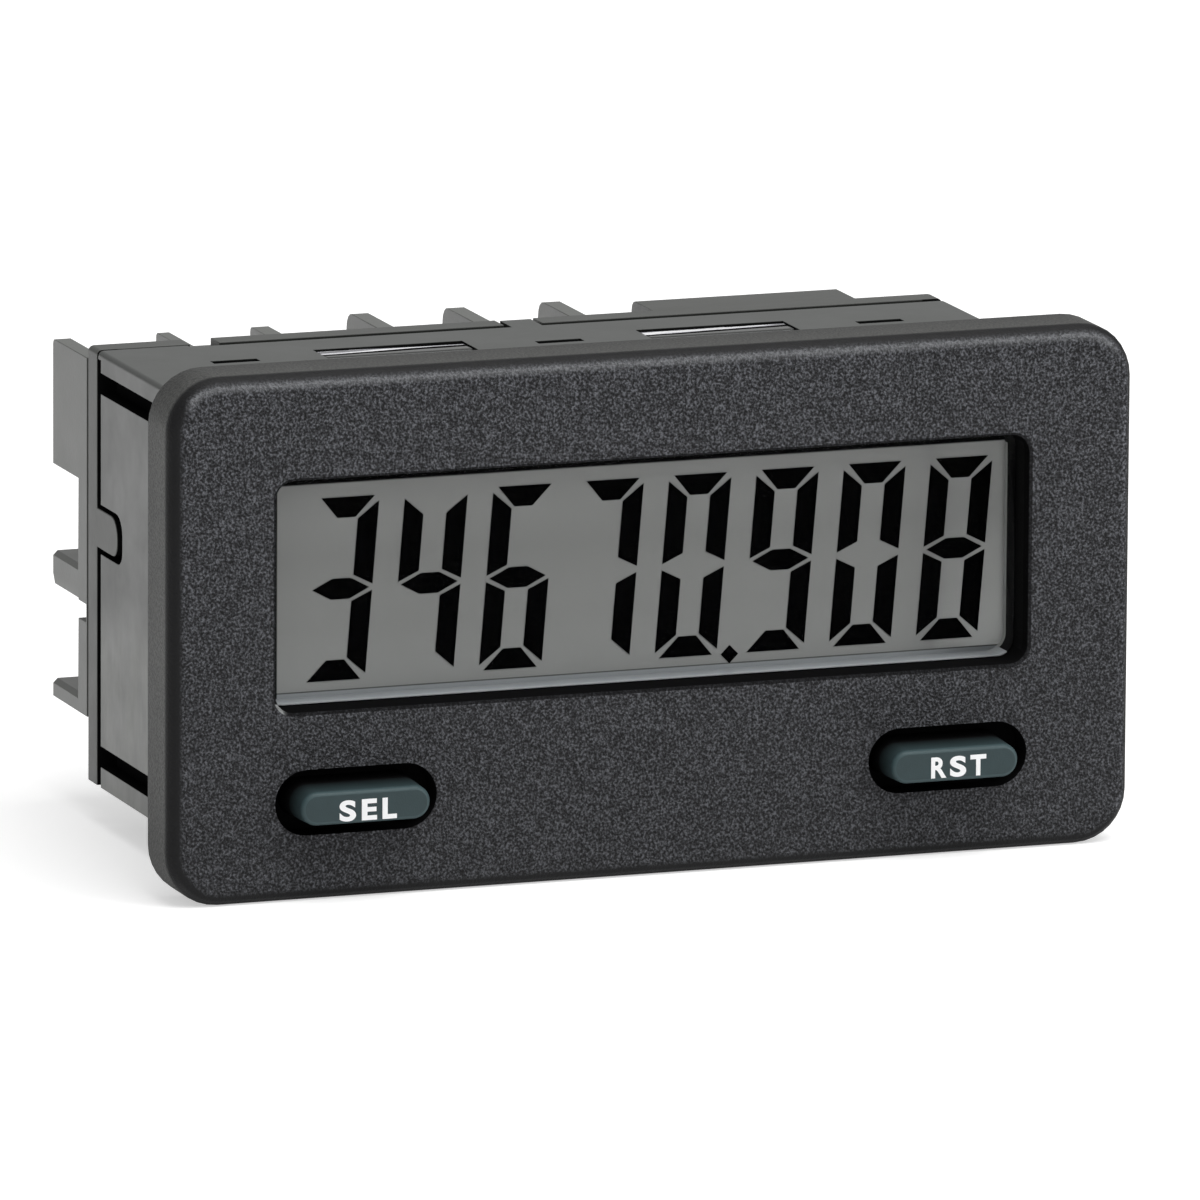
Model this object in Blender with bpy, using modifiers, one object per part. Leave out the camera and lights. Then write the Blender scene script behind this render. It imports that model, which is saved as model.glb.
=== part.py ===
"""Panel counter: an eight-digit liquid-crystal counter for a 68 x 33 mm panel cut-out.

Sizes are written in millimetres times mm and held in metres. Widths (X) and heights (Z) are taken
from the centre of the bezel, and depths (Y) run back from the bezel's front face. One empty carries
every piece and puts the lowest edge of the bezel on the ground, with the part centred over it.
"""
import math

import bmesh
import bpy
from mathutils import Matrix, Vector

for old_object in list(bpy.data.objects):
    bpy.data.objects.remove(old_object)

mm = 0.001

# Fits between neighbouring pieces
seat_gap = 0.3 * mm
slide_gap = 0.35 * mm

# Overall sizes: the bezel, the case that passes through the panel, and the depth from face to fins
bezel_width = 75.0 * mm
bezel_height = 39.2 * mm
case_width = 66.9 * mm
case_height = 32.9 * mm
overall_depth = 39.4 * mm

# Bezel and case, one moulding
bezel_depth = 4.85 * mm
bezel_corner = 4.0 * mm
bezel_edge = 0.9 * mm
front_wall = 2.2 * mm
case_wall = 1.3 * mm
case_corner = 0.4 * mm
corner_post_width = 1.15 * mm
corner_post_height = 2.25 * mm
corner_skin_width = 6.95 * mm
corner_skin_thickness = 0.6 * mm

# Grooves for the mounting clip, one above the other on each side
groove_height = 1.6 * mm
groove_depth = 1.25 * mm
groove_inset = 1.55 * mm

# Openings in the top wall: the outermost lie slot_margin in from the case's sides
slot_shift = 0.3 * mm
slot_margin = 8.05 * mm
small_slot_width = 3.6 * mm
small_slot_depth = 1.0 * mm
small_slot_inset = 5.8 * mm
large_slot_width = 11.7 * mm
large_slot_depth = 7.1 * mm
large_slot_inset = 3.9 * mm

# Window: its opening lies between the buttons and the case's top and side walls
window_side = 4.1 * mm
window_head = 4.725 * mm
window_sill = 6.725 * mm
window_corner = 1.4 * mm
window_surround = 1.6 * mm
surround_back = 4.0 * mm
lens_recess = 2.5 * mm
lens_flange = 1.0 * mm
lens_lip = 1.5 * mm

# Display stack
glass_thickness = 1.1 * mm
glass_margin = 0.6 * mm
glass_ledge = 2.0 * mm
holder_web = 2.4 * mm
strip_thickness = 1.3 * mm
board_thickness = 1.6 * mm

# Push buttons and their mat: centres lie in from the window's ends and up from the case's underside.
# The keys stand well clear of their holes, and the right one a little off the middle of its own.
button_inset = 6.25 * mm
sel_key_inset = 6.2 * mm
rst_key_inset = 6.55 * mm
button_foot = 4.2 * mm
button_hole_width = 12.5 * mm
button_hole_height = 4.9 * mm
button_proud = 2.5 * mm
button_face_width = 9.95 * mm
button_face_height = 2.5 * mm
button_draft = 0.4 * mm
button_flange = 1.0 * mm
button_flange_lip = 1.2 * mm
button_travel = 0.9 * mm
stem_width = 9.0 * mm
stem_height = 2.0 * mm
pill_radius = 0.95 * mm
pill_thickness = 0.5 * mm
mat_thickness = 0.8 * mm
collar_wall = 0.9 * mm

# Rear cover
seam_gap = 0.9 * mm
cover_thickness = 2.1 * mm
spigot_wall = 1.2 * mm
spigot_reach = 1.9 * mm
tongue_height = 2.95 * mm
tongue_length = 4.75 * mm
tongue_rise = 3.1 * mm
tongue_end_gap = 1.2 * mm
tongue_side_gap = 0.4 * mm
tongue_upper_radius = 1.475 * mm
tongue_lower_radius = 1.1 * mm
key_width = 2.4 * mm
key_gap = 0.3 * mm
rim_slot_width = 2.3 * mm
rim_slot_inset = 8.4 * mm
post_width = 2.2 * mm
left_post_rise = 1.5 * mm

# Terminal block on the cover's back: a row under the case's top, and one more terminal at the left
terminal_pitch = 7.62 * mm
terminal_inset = 4.75 * mm
terminal_head = 6.15 * mm
side_terminal_stand = 4.65 * mm
block_rise = 2.05 * mm
fin_length = 6.05 * mm
fin_drop = 4.33 * mm
low_fin_count = 2
low_fin_inset = 1.0 * mm
low_fin_edge = 0.4 * mm
high_fin_inset = 0.3 * mm
high_fin_edge = 1.2 * mm
fin_thickness = 1.35 * mm
first_fin_thickness = 0.95 * mm
corner_fin_thickness = 1.3 * mm
shelf_length = 8.45 * mm
upper_shelf_stand = 11.1 * mm
upper_shelf_thickness = 2.55 * mm
lower_shelf_foot = 4.7 * mm
lower_shelf_thickness = 1.35 * mm
bay_width = 5.2 * mm
bay_height = 6.8 * mm

# Terminal hardware
clamp_height = 5.0 * mm
clamp_sheet = 0.6 * mm
clamp_stand = 1.2 * mm
clamp_tab = 2.2 * mm
screw_radius = 1.3 * mm
screw_head_radius = 2.6 * mm
screw_head_height = 1.6 * mm
screw_head_inset = 1.4 * mm
screw_length = 7.8 * mm
screw_slot = 0.75 * mm
washer_thickness = 0.7 * mm
washer_width = 4.9 * mm
washer_height = 5.6 * mm

# Battery and its housing in the cover
battery_radius = 7.15 * mm
battery_nub_radius = 2.6 * mm
battery_nub = 0.9 * mm
battery_side = 14.3 * mm
battery_seat = 1.6 * mm
hump_end_wall = 2.05 * mm
hump_wall = 0.6 * mm
hump_back_wall = 1.8 * mm
hump_corner = 0.8 * mm
contact_sheet = 0.4 * mm
contact_width = 6.0 * mm

# Boards and what they carry
terminal_board_inset = 3.0 * mm
pin_pitch = 2.54 * mm
pin_count = 8
pin_width = 0.64 * mm
pin_row_offset = -11.0 * mm
pin_row_foot = 4.85 * mm
pin_carrier = 2.5 * mm
sheet_thickness = 0.4 * mm
sheet_start = 2.0 * mm
chip_radius = 5.6 * mm
chip_height = 1.5 * mm
chip_skirt = 0.15 * mm
chip_offset = -10.0 * mm
chip_rise = 3.0 * mm
crystal_radius = 1.5 * mm
crystal_length = 8.0 * mm
crystal_rim = 0.15 * mm
crystal_rise = 7.0 * mm
capacitor_radius = 2.5 * mm
capacitor_offset = 2.5 * mm
capacitor_drop = 4.0 * mm
capacitor_share = 0.62

# Depths worked out from the back: fins, block, cover, seam, case
block_back = overall_depth - fin_length
block_front = block_back - block_rise
cover_back = block_front - seat_gap
cover_front = cover_back - cover_thickness
case_back = cover_front - seam_gap
terminal_board_front = case_back - terminal_board_inset
small_slot_back = case_back - small_slot_inset
large_slot_back = case_back - large_slot_inset
clamp_face = cover_back + clamp_stand
screw_head_back = overall_depth - screw_head_inset
battery_centre = case_back - battery_seat

# Window and buttons
window_width = case_width - 2 * window_side
window_top = case_height / 2 - window_head
button_drop = case_height / 2 - button_foot
window_bottom = window_sill - button_drop
window_height = window_top - window_bottom
window_rise = (window_top + window_bottom) / 2
button_offset = window_width / 2 - button_inset
key_x = {"sel": sel_key_inset - window_width / 2, "rst": window_width / 2 - rst_key_inset}

# Places inside the case
cavity_x = case_width / 2 - case_wall
cavity_z = case_height / 2 - case_wall
clear_x = cavity_x - corner_post_width
clear_z = cavity_z - corner_post_height
lens_flange_front = surround_back + seat_gap
glass_front = lens_flange_front + lens_flange + seat_gap
glass_step = glass_front + glass_thickness
glass_back = glass_step + glass_thickness
holder_seat = glass_back + seat_gap
holder_back = holder_seat + holder_web
board_front = holder_back + seat_gap
board_back = board_front + board_thickness
glass_x = window_width / 2 + glass_margin
glass_z = window_height / 2 + glass_margin / 2 + glass_ledge / 2
glass_rear_z = glass_z - glass_ledge
terminal_board_back = terminal_board_front + board_thickness
pin_row_drop = case_height / 2 - pin_row_foot
slot_pitch = (case_width / 2 - slot_margin) / 2
rim_slot_offset = case_width / 2 - rim_slot_inset
clamp_width = 2 * (screw_radius + seat_gap + clamp_sheet)
battery_offset = case_width / 2 - battery_side
battery_length = case_height - 2 * (hump_end_wall + battery_nub + 3 * contact_sheet)
battery_clear = battery_radius + slide_gap
hump_x = battery_clear + hump_wall
hump_back = battery_centre + battery_clear + hump_back_wall

# Heights on the terminal block, and as many terminals as fit beside the battery housing
terminal_rise = case_height / 2 - terminal_head
fin_bottom = terminal_rise - fin_drop
low_fin_top = case_height / 2 - low_fin_inset
high_fin_top = case_height / 2 - high_fin_inset
lower_shelf_bottom = lower_shelf_foot - case_height / 2
upper_shelf_top = lower_shelf_bottom + upper_shelf_stand
side_terminal_rise = lower_shelf_bottom + side_terminal_stand
first_terminal = terminal_inset - case_width / 2
row_end = battery_offset - hump_x - seat_gap - (terminal_pitch + fin_thickness) / 2
terminal_count = 1 + int((row_end - first_terminal) / terminal_pitch)
terminal_x = [first_terminal + terminal_pitch * n for n in range(terminal_count)]
terminals = [(x, terminal_rise) for x in terminal_x] + [(first_terminal, side_terminal_rise)]

# One empty carries the whole counter
frame = bpy.data.objects.new("counter_frame", None)
bpy.context.scene.collection.objects.link(frame)
frame.location = (0, (button_proud - overall_depth) / 2, bezel_height / 2)

counter = bpy.data.collections.new("panel_counter")
tools = bpy.data.collections.new("cutters")
bpy.context.scene.collection.children.link(counter)
bpy.context.scene.collection.children.link(tools)


def finish(name, colour, roughness, metallic=0.0, alpha=1.0):
    """A plain Principled material with the part's colour."""
    material = bpy.data.materials.new(name)
    material.use_nodes = True
    shader = material.node_tree.nodes["Principled BSDF"]
    shader.inputs["Base Color"].default_value = (*colour, 1.0)
    shader.inputs["Roughness"].default_value = roughness
    shader.inputs["Metallic"].default_value = metallic
    shader.inputs["Alpha"].default_value = alpha
    return material


dark_plastic = finish("dark_plastic", (0.045, 0.047, 0.052), 0.55)
black_plastic = finish("black_plastic", (0.015, 0.015, 0.016), 0.5)
clear_plastic = finish("clear_plastic", (0.85, 0.87, 0.87), 0.05, alpha=0.35)
display_glass = finish("display_glass", (0.18, 0.185, 0.18), 0.15)
silicone = finish("silicone", (0.05, 0.075, 0.08), 0.5)
conductive_rubber = finish("conductive_rubber", (0.02, 0.02, 0.02), 0.7)
circuit_board = finish("circuit_board", (0.03, 0.14, 0.06), 0.4)
chip_resin = finish("chip_resin", (0.01, 0.01, 0.01), 0.3)
nickel = finish("nickel", (0.75, 0.74, 0.71), 0.25, 1.0)
brass = finish("brass", (0.80, 0.72, 0.50), 0.3, 1.0)
cell_jacket = finish("cell_jacket", (0.30, 0.33, 0.36), 0.35, 0.6)


def place(name, mesh, material, location=(0, 0, 0), rotation=(0, 0, 0)):
    """Link an object to the counter, or as a hidden helper where it has no material."""
    item = bpy.data.objects.new(name, mesh)
    item.location = location
    item.rotation_euler = rotation
    item.parent = frame
    if material:
        counter.objects.link(item)
        mesh.materials.append(material)
    else:
        tools.objects.link(item)
        item.hide_render = True
        item.display_type = "WIRE"
    return item


def box(name, x, y, z, material=None, round_axis=None, radius=0.0, steps=4):
    """A box between the limits x, y and z, with the edges along one axis rounded if asked."""
    size = Vector((x[1] - x[0], y[1] - y[0], z[1] - z[0]))
    form = bmesh.new()
    bmesh.ops.create_cube(form, size=1.0, matrix=Matrix.Diagonal(size).to_4x4())
    if round_axis is not None:
        edges = [edge for edge in form.edges if edge_runs_along(edge, round_axis)]
        bmesh.ops.bevel(form, geom=edges, offset=radius, segments=steps, profile=0.5, affect="EDGES")
    mesh = bpy.data.meshes.new(name)
    form.to_mesh(mesh)
    form.free()
    middle = ((x[0] + x[1]) / 2, (y[0] + y[1]) / 2, (z[0] + z[1]) / 2)
    return place(name, mesh, material, middle)


def edge_runs_along(edge, axis):
    """True where an edge's two ends differ along the given axis only."""
    step = edge.verts[1].co - edge.verts[0].co
    return abs(step[axis]) > 0.99 * step.length


def flat(name, outline, span, axis, material=None):
    """A flat outline carried along one axis: a filled 2D curve turned into a mesh.

    The outline's points are (y, z) for axis 0, (x, z) for axis 1 and (x, y) for axis 2.
    """
    curve = bpy.data.curves.new(name, "CURVE")
    curve.dimensions = "2D"
    curve.fill_mode = "BOTH"
    curve.extrude = (span[1] - span[0]) / 2
    spline = curve.splines.new("POLY")
    spline.points.add(len(outline) - 1)
    for point, (u, v) in zip(spline.points, outline):
        point.co = (u, v, 0, 1)
    spline.use_cyclic_u = True
    sketch = bpy.data.objects.new(name + "_sketch", curve)
    tools.objects.link(sketch)
    solid = bpy.data.meshes.new_from_object(sketch.evaluated_get(bpy.context.evaluated_depsgraph_get()))
    bpy.data.objects.remove(sketch)
    form = bmesh.new()
    form.from_mesh(solid)
    bmesh.ops.remove_doubles(form, verts=form.verts, dist=0.00001)
    form.to_mesh(solid)
    form.free()
    quarter = math.pi / 2
    turns = {0: (quarter, 0, quarter), 1: (quarter, 0, 0), 2: (0, 0, 0)}
    location = Vector((0, 0, 0))
    location[axis] = (span[0] + span[1]) / 2
    return place(name, solid, material, location, turns[axis])


def rounded_ring(width, height, radius, steps):
    """Points of a rounded rectangle about the origin, in order."""
    points = []
    for corner in range(4):
        side_x = 1 if corner in (0, 3) else -1
        side_z = 1 if corner in (0, 1) else -1
        for step in range(steps + 1):
            angle = math.pi / 2 * (corner + step / steps)
            points.append((side_x * (width / 2 - radius) + radius * math.cos(angle),
                           side_z * (height / 2 - radius) + radius * math.sin(angle)))
    return points


def stadium_loft(name, sections, material=None, location=(0, 0, 0), steps=8):
    """A closed body through stadium-shaped sections, each (depth, width, height), front first."""
    form = bmesh.new()
    rings = []
    for depth, width, height in sections:
        ring = [form.verts.new((x, depth, z))
                for x, z in rounded_ring(width, height, height / 2 - 0.01 * mm, steps)]
        rings.append(ring)
    for front, back in zip(rings, rings[1:]):
        for n in range(len(front)):
            after = (n + 1) % len(front)
            form.faces.new((front[n], front[after], back[after], back[n]))
    form.faces.new(list(reversed(rings[0])))
    form.faces.new(rings[-1])
    bmesh.ops.recalc_face_normals(form, faces=form.faces)
    mesh = bpy.data.meshes.new(name)
    form.to_mesh(mesh)
    form.free()
    return place(name, mesh, material, location)


def rod(name, radius, span, centre, axis, material=None, steps=24):
    """A round rod along one axis, centred on the other two."""
    form = bmesh.new()
    bmesh.ops.create_cone(form, cap_ends=True, segments=steps, radius1=radius, radius2=radius,
                          depth=span[1] - span[0])
    mesh = bpy.data.meshes.new(name)
    form.to_mesh(mesh)
    form.free()
    quarter = math.pi / 2
    turns = {0: (0, quarter, 0), 1: (quarter, 0, 0), 2: (0, 0, 0)}
    location = Vector(centre)
    location[axis] = (span[0] + span[1]) / 2
    return place(name, mesh, material, location, turns[axis])


def turned(name, profile, material, location, rotation=(0, 0, 0), steps=24):
    """A turned piece: profile is (radius, height) pairs from the top of the axis to its foot."""
    form = bmesh.new()
    points = [form.verts.new((radius, 0, height)) for radius, height in profile]
    for first, second in zip(points, points[1:]):
        form.edges.new((first, second))
    mesh = bpy.data.meshes.new(name)
    form.to_mesh(mesh)
    form.free()
    item = place(name, mesh, material, location, rotation)
    turn = item.modifiers.new("turn", "SCREW")
    turn.steps = steps
    turn.render_steps = steps
    turn.use_merge_vertices = True
    turn.merge_threshold = 0.00001
    return item


def combine(item, other, operation):
    """Cut a helper out of a piece, or join it on."""
    change = item.modifiers.new(operation.lower(), "BOOLEAN")
    change.operation = operation
    change.solver = "EXACT"
    change.object = other


def cut(item, *helpers):
    """Cut each helper out of a piece."""
    for helper in helpers:
        combine(item, helper, "DIFFERENCE")


def join(item, *helpers):
    """Join each helper to a piece."""
    for helper in helpers:
        combine(item, helper, "UNION")


def mirrored(low, high):
    """The two spans that lie low to high to the left and to the right of the centre."""
    return (-high, -low), (low, high)


# Case: the bezel and the box behind it are one moulding, open at the back
def bezel_plate():
    """The bezel: a box with round corners and a rolled front edge."""
    plate = box("case", (-bezel_width / 2, bezel_width / 2), (0, bezel_depth),
                (-bezel_height / 2, bezel_height / 2), dark_plastic, 1, bezel_corner, 8)
    form = bmesh.new()
    form.from_mesh(plate.data)
    front = [edge for edge in form.edges
             if all(vertex.co.y < -0.49 * bezel_depth for vertex in edge.verts)]
    bmesh.ops.bevel(form, geom=front, offset=bezel_edge, segments=3, profile=0.5, affect="EDGES")
    form.to_mesh(plate.data)
    form.free()
    return plate


def upper_corner(side):
    """Points round an upper corner of the case's section, the right (1) or the left (-1) one."""
    points = []
    for step in range(4):
        angle = math.radians((0 if side > 0 else 90) + 30 * step)
        points.append((side * (case_width / 2 - case_corner) + case_corner * math.cos(angle),
                       case_height / 2 - case_corner + case_corner * math.sin(angle)))
    return points


def body_outline():
    """Section of the case and its cover: square corners below, rounded ones above."""
    half_x = case_width / 2
    half_z = case_height / 2
    return [(-half_x, -half_z), (half_x, -half_z)] + upper_corner(1) + upper_corner(-1)


def corner_skin():
    """A thin skin of the case's top that closes the seam over its left corner."""
    low = case_height / 2 - corner_skin_thickness
    right = corner_skin_width - case_width / 2
    outline = [(-case_width / 2, low), (right, low), (right, case_height / 2)] + upper_corner(-1)
    return flat("corner_skin", outline, (case_back - 1 * mm, cover_front - seat_gap), 1)


def case():
    """Bezel, case walls, window surround, clip grooves, slots and latch cut-outs."""
    body = bezel_plate()
    overlap = front_wall / 2
    join(body, flat("case_shell", body_outline(), (overlap, case_back), 1))
    wide = box("cavity_wide", (-cavity_x, cavity_x), (front_wall, case_back + 1 * mm), (-clear_z, clear_z))
    tall = box("cavity_tall", (-clear_x, clear_x), (front_wall, case_back + 1 * mm), (-cavity_z, cavity_z))
    join(wide, tall)
    cut(body, wide)
    rim_x = window_width / 2 + window_surround
    rim_z = window_height / 2 + window_surround
    surround = box("window_rim", (-rim_x, rim_x), (front_wall - 0.5 * mm, surround_back),
                   (window_rise - rim_z, window_rise + rim_z))
    join(body, surround)
    opening = box("window_opening", (-window_width / 2, window_width / 2),
                  (-1 * mm, surround_back + 1 * mm),
                  (window_rise - window_height / 2, window_rise + window_height / 2),
                  None, 1, window_corner, 5)
    cut(body, opening)
    for side in (-1, 1):
        hole = stadium_loft("button_hole", [(-1 * mm, button_hole_width, button_hole_height),
                                            (front_wall + 1 * mm, button_hole_width, button_hole_height)],
                            None, (side * button_offset, 0, -button_drop))
        cut(body, hole)
    for x in mirrored(case_width / 2 - groove_depth, case_width / 2 + 1 * mm):
        for z in mirrored(case_height / 2 - groove_inset - groove_height, case_height / 2 - groove_inset):
            cut(body, box("clip_groove", x, (bezel_depth + 1.5 * mm, case_back + 1 * mm), z))
    for x in mirrored(cavity_x - 1 * mm, case_width / 2 + 1 * mm):
        cut(body, tongue_shape("latch_opening", x, tongue_end_gap, tongue_side_gap))
    top = (cavity_z - 1 * mm, case_height / 2 + 1 * mm)
    for n in range(-2, 3):
        x = slot_shift + n * slot_pitch
        if n % 2:
            width, back, depth = large_slot_width, large_slot_back, large_slot_depth
        else:
            width, back, depth = small_slot_width, small_slot_back, small_slot_depth
        cut(body, box("top_slot", (x - width / 2, x + width / 2), (back - depth, back), top))
    key = box("case_key", (-key_width / 2, key_width / 2), (case_back - 1 * mm, cover_back - seat_gap),
              (cavity_z, case_height / 2))
    join(body, key, corner_skin())
    return body


def tongue_shape(name, x, end_gap, side_gap):
    """The D-shaped latch tongue, grown by the gaps for its opening in the case wall."""
    front = cover_front - tongue_length - end_gap
    low = tongue_rise - tongue_height / 2 - side_gap
    high = tongue_rise + tongue_height / 2 + side_gap
    outline = [(cover_front + 0.5 * mm, low)]
    for radius, level, start in ((tongue_lower_radius, low + tongue_lower_radius, 270),
                                 (tongue_upper_radius, high - tongue_upper_radius, 180)):
        for step in range(7):
            angle = math.radians(start - 15 * step)
            outline.append((front + radius + radius * math.cos(angle), level + radius * math.sin(angle)))
    outline.append((cover_front + 0.5 * mm, high))
    return flat(name, outline, x, 0)


# Window and display
def window_lens():
    """The clear window: a raised face that fills the opening, on a wider flange behind it."""
    fit = slide_gap
    width = window_width / 2 - fit
    height = window_height / 2 - fit
    lens = box("window_lens", (-width, width), (lens_recess, lens_flange_front + lens_flange / 2),
               (window_rise - height, window_rise + height), clear_plastic, 1, window_corner - fit, 5)
    lip_x = window_width / 2 + lens_lip
    lip_z = window_height / 2 + lens_lip
    lip = box("lens_flange", (-lip_x, lip_x), (lens_flange_front, lens_flange_front + lens_flange),
              (window_rise - lip_z, window_rise + lip_z))
    join(lens, lip)
    return lens


def lcd_cell():
    """Front and rear glass bonded together; the front one overhangs above and below."""
    outline = [(glass_front, window_rise - glass_z), (glass_front, window_rise + glass_z),
               (glass_step, window_rise + glass_z), (glass_step, window_rise + glass_rear_z),
               (glass_back, window_rise + glass_rear_z), (glass_back, window_rise - glass_rear_z),
               (glass_step, window_rise - glass_rear_z), (glass_step, window_rise - glass_z)]
    return flat("lcd_cell", outline, (-glass_x, glass_x), 0, display_glass)


def strip_span(side):
    """The height limits of the connector strip above (1) or below (-1) the glass."""
    centre = window_rise + side * (glass_z - glass_ledge / 2)
    return centre - strip_thickness / 2, centre + strip_thickness / 2


def lcd_holder():
    """The frame that holds the glass and both connector strips against the display board."""
    outer_x = glass_x + seat_gap + 0.5 * mm
    outer_z = glass_z + seat_gap + 0.8 * mm
    holder = box("lcd_holder", (-outer_x, outer_x), (glass_front, holder_back),
                 (window_rise - outer_z, window_rise + outer_z), black_plastic)
    pocket_x = glass_x + seat_gap
    pocket_z = glass_z + seat_gap
    cut(holder, box("glass_pocket", (-pocket_x, pocket_x), (glass_front - 1 * mm, holder_seat),
                    (window_rise - pocket_z, window_rise + pocket_z)))
    for side in (-1, 1):
        low, high = strip_span(side)
        cut(holder, box("strip_channel", (-glass_x + 1.0 * mm, glass_x - 1.0 * mm),
                        (holder_seat - 1 * mm, holder_back + 1 * mm), (low - 0.2 * mm, high + 0.2 * mm)))
    middle_z = glass_rear_z - 3.0 * mm
    cut(holder, box("holder_window", (-glass_x + 3 * mm, glass_x - 3 * mm),
                    (holder_seat - 1 * mm, holder_back + 1 * mm),
                    (window_rise - middle_z, window_rise + middle_z), None, 1, 1.0 * mm, 3))
    return holder


def connector_strips():
    """Two elastomer strips that carry the contacts from the glass to the board."""
    for side, name in ((-1, "lower_connector_strip"), (1, "upper_connector_strip")):
        box(name, (-glass_x + 1.3 * mm, glass_x - 1.3 * mm),
            (glass_step + seat_gap, board_front - seat_gap), strip_span(side), conductive_rubber)


# Boards
def display_board():
    """The front board, which carries the display contacts, the key pads and the counting chip."""
    board_x = clear_x - slide_gap
    board_z = cavity_z - slide_gap
    return box("display_board", (-board_x, board_x), (board_front, board_back), (-board_z, board_z),
               circuit_board, 1, 0.6 * mm, 2)


def counting_chip():
    """The chip under its drop of black resin."""
    angles = [math.radians(15 * step) for step in range(7)]
    dome = [(chip_radius * math.sin(angle), chip_height * math.cos(angle)) for angle in angles]
    profile = dome + [(chip_radius, -chip_skirt), (0, -chip_skirt)]
    turned("counting_chip", profile, chip_resin,
           (chip_offset, board_back + seat_gap + chip_skirt, chip_rise), (-math.pi / 2, 0, 0), 28)


def timing_crystal():
    """A small metal can lying on the board."""
    radius = crystal_radius
    length = crystal_length
    foot = radius + crystal_rim
    profile = [(0, length), (radius - 0.3 * mm, length), (radius, length - 0.3 * mm),
               (radius, 0.4 * mm), (foot, 0.4 * mm), (foot, 0), (0, 0)]
    turned("timing_crystal", profile, nickel, (0, board_back + seat_gap + foot, crystal_rise),
           (0, math.pi / 2, 0), 20)


def reservoir_capacitor():
    """An upright capacitor that fills a share of the room between the board and the clear sheet."""
    radius = capacitor_radius
    start = board_back + seat_gap
    length = capacitor_share * (terminal_board_front - 2 * seat_gap - sheet_thickness - start)
    profile = [(0, length), (radius - 0.3 * mm, length), (radius, length - 0.3 * mm),
               (radius, 1.6 * mm), (radius - 0.25 * mm, 1.3 * mm), (radius, 1.0 * mm), (radius, 0), (0, 0)]
    turned("reservoir_capacitor", profile, cell_jacket,
           (capacitor_offset, start, -capacitor_drop), (-math.pi / 2, 0, 0))


def pin_centres():
    """The X of each pin in the row that joins the two boards."""
    first = pin_row_offset - pin_pitch * (pin_count - 1) / 2
    return [first + pin_pitch * n for n in range(pin_count)]


def board_link():
    """A row of pins from the display board through the terminal board."""
    half = pin_pitch * pin_count / 2
    carrier = box("board_link", (pin_row_offset - half, pin_row_offset + half),
                  (board_back + seat_gap, board_back + seat_gap + pin_carrier),
                  (-pin_row_drop - pin_pitch / 2, -pin_row_drop + pin_pitch / 2), black_plastic)
    for x in pin_centres():
        pin = box("link_pin", (x - pin_width / 2, x + pin_width / 2),
                  (board_back + seat_gap + pin_carrier / 2, terminal_board_back + 0.8 * mm),
                  (-pin_row_drop - pin_width / 2, -pin_row_drop + pin_width / 2))
        join(carrier, pin)
    return carrier


def terminal_board():
    """The rear board, slotted for the terminal tabs and pierced for the link pins."""
    board_z = cavity_z - slide_gap
    right = battery_offset - hump_x - seat_gap
    board = box("terminal_board", (-clear_x + slide_gap, right),
                (terminal_board_front, terminal_board_back), (-board_z, board_z), circuit_board)
    through = (terminal_board_front - 1 * mm, terminal_board_back + 1 * mm)
    leg = clamp_width / 2 - clamp_sheet / 2
    for x, z in terminals:
        for side in (-1, 1):
            middle = x + side * leg
            cut(board, box("tab_slot",
                           (middle - clamp_sheet / 2 - seat_gap, middle + clamp_sheet / 2 + seat_gap),
                           through,
                           (z - clamp_tab / 2 - seat_gap, z + clamp_tab / 2 + seat_gap)))
    reach = pin_width / 2 + seat_gap
    for x in pin_centres():
        cut(board, box("pin_hole", (x - reach, x + reach), through,
                       (-pin_row_drop - reach, -pin_row_drop + reach)))
    reach = post_width / 2 + slide_gap
    for x, z in post_centres():
        if x < right:
            cut(board, box("post_hole", (x - reach, x + reach), through, (z - reach, z + reach)))
    return board


def clear_insulator():
    """A folded clear sheet between the circuits and the case, seen through the top slots."""
    top = cavity_z - seat_gap
    back = terminal_board_front - 2 * seat_gap
    front = board_back + sheet_start
    low = -pin_row_drop + pin_pitch / 2 + 1 * mm
    outline = [(front, top), (back, top), (back, low), (back - sheet_thickness, low),
               (back - sheet_thickness, top - sheet_thickness), (front, top - sheet_thickness)]
    right = battery_offset - hump_x - 2 * seat_gap
    sheet = flat("clear_insulator", outline, (-clear_x + 6 * mm, clear_x - 6 * mm), 0, clear_plastic)
    cut(sheet, box("battery_relief", (right, clear_x), (battery_centre - 2 * battery_radius, back + 1 * mm),
                   (low - 1 * mm, top - 2 * sheet_thickness)))
    return sheet


# Push buttons
def push_button(name, x):
    """A rubber cap: slim key, flange behind the bezel and a stem to the contact pill."""
    base_width = button_face_width + button_draft
    base_height = button_face_height + button_draft
    edge = 0.35 * mm
    flange_front = front_wall + seat_gap
    flange_back = flange_front + button_flange
    flange_width = button_hole_width + button_flange_lip
    flange_height = button_hole_height + 0.3 * button_flange_lip
    pill_back = board_front - button_travel - 0.1 * mm
    stem_back = pill_back - pill_thickness - seat_gap
    sections = [(-button_proud, button_face_width - 2 * edge, button_face_height - 2 * edge),
                (-button_proud + 0.1 * mm, button_face_width - 0.8 * edge, button_face_height - 0.8 * edge),
                (-button_proud + edge, button_face_width, button_face_height),
                (flange_front, base_width, base_height),
                (flange_front, flange_width, flange_height),
                (flange_back, flange_width, flange_height),
                (flange_back, stem_width, stem_height),
                (stem_back, stem_width, stem_height)]
    centre = (x, 0, -button_drop)
    stadium_loft(name + "_button", sections, silicone, centre)
    rod(name + "_contact_pill", pill_radius, (pill_back - pill_thickness, pill_back), centre, 1,
        conductive_rubber, 20)


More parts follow.
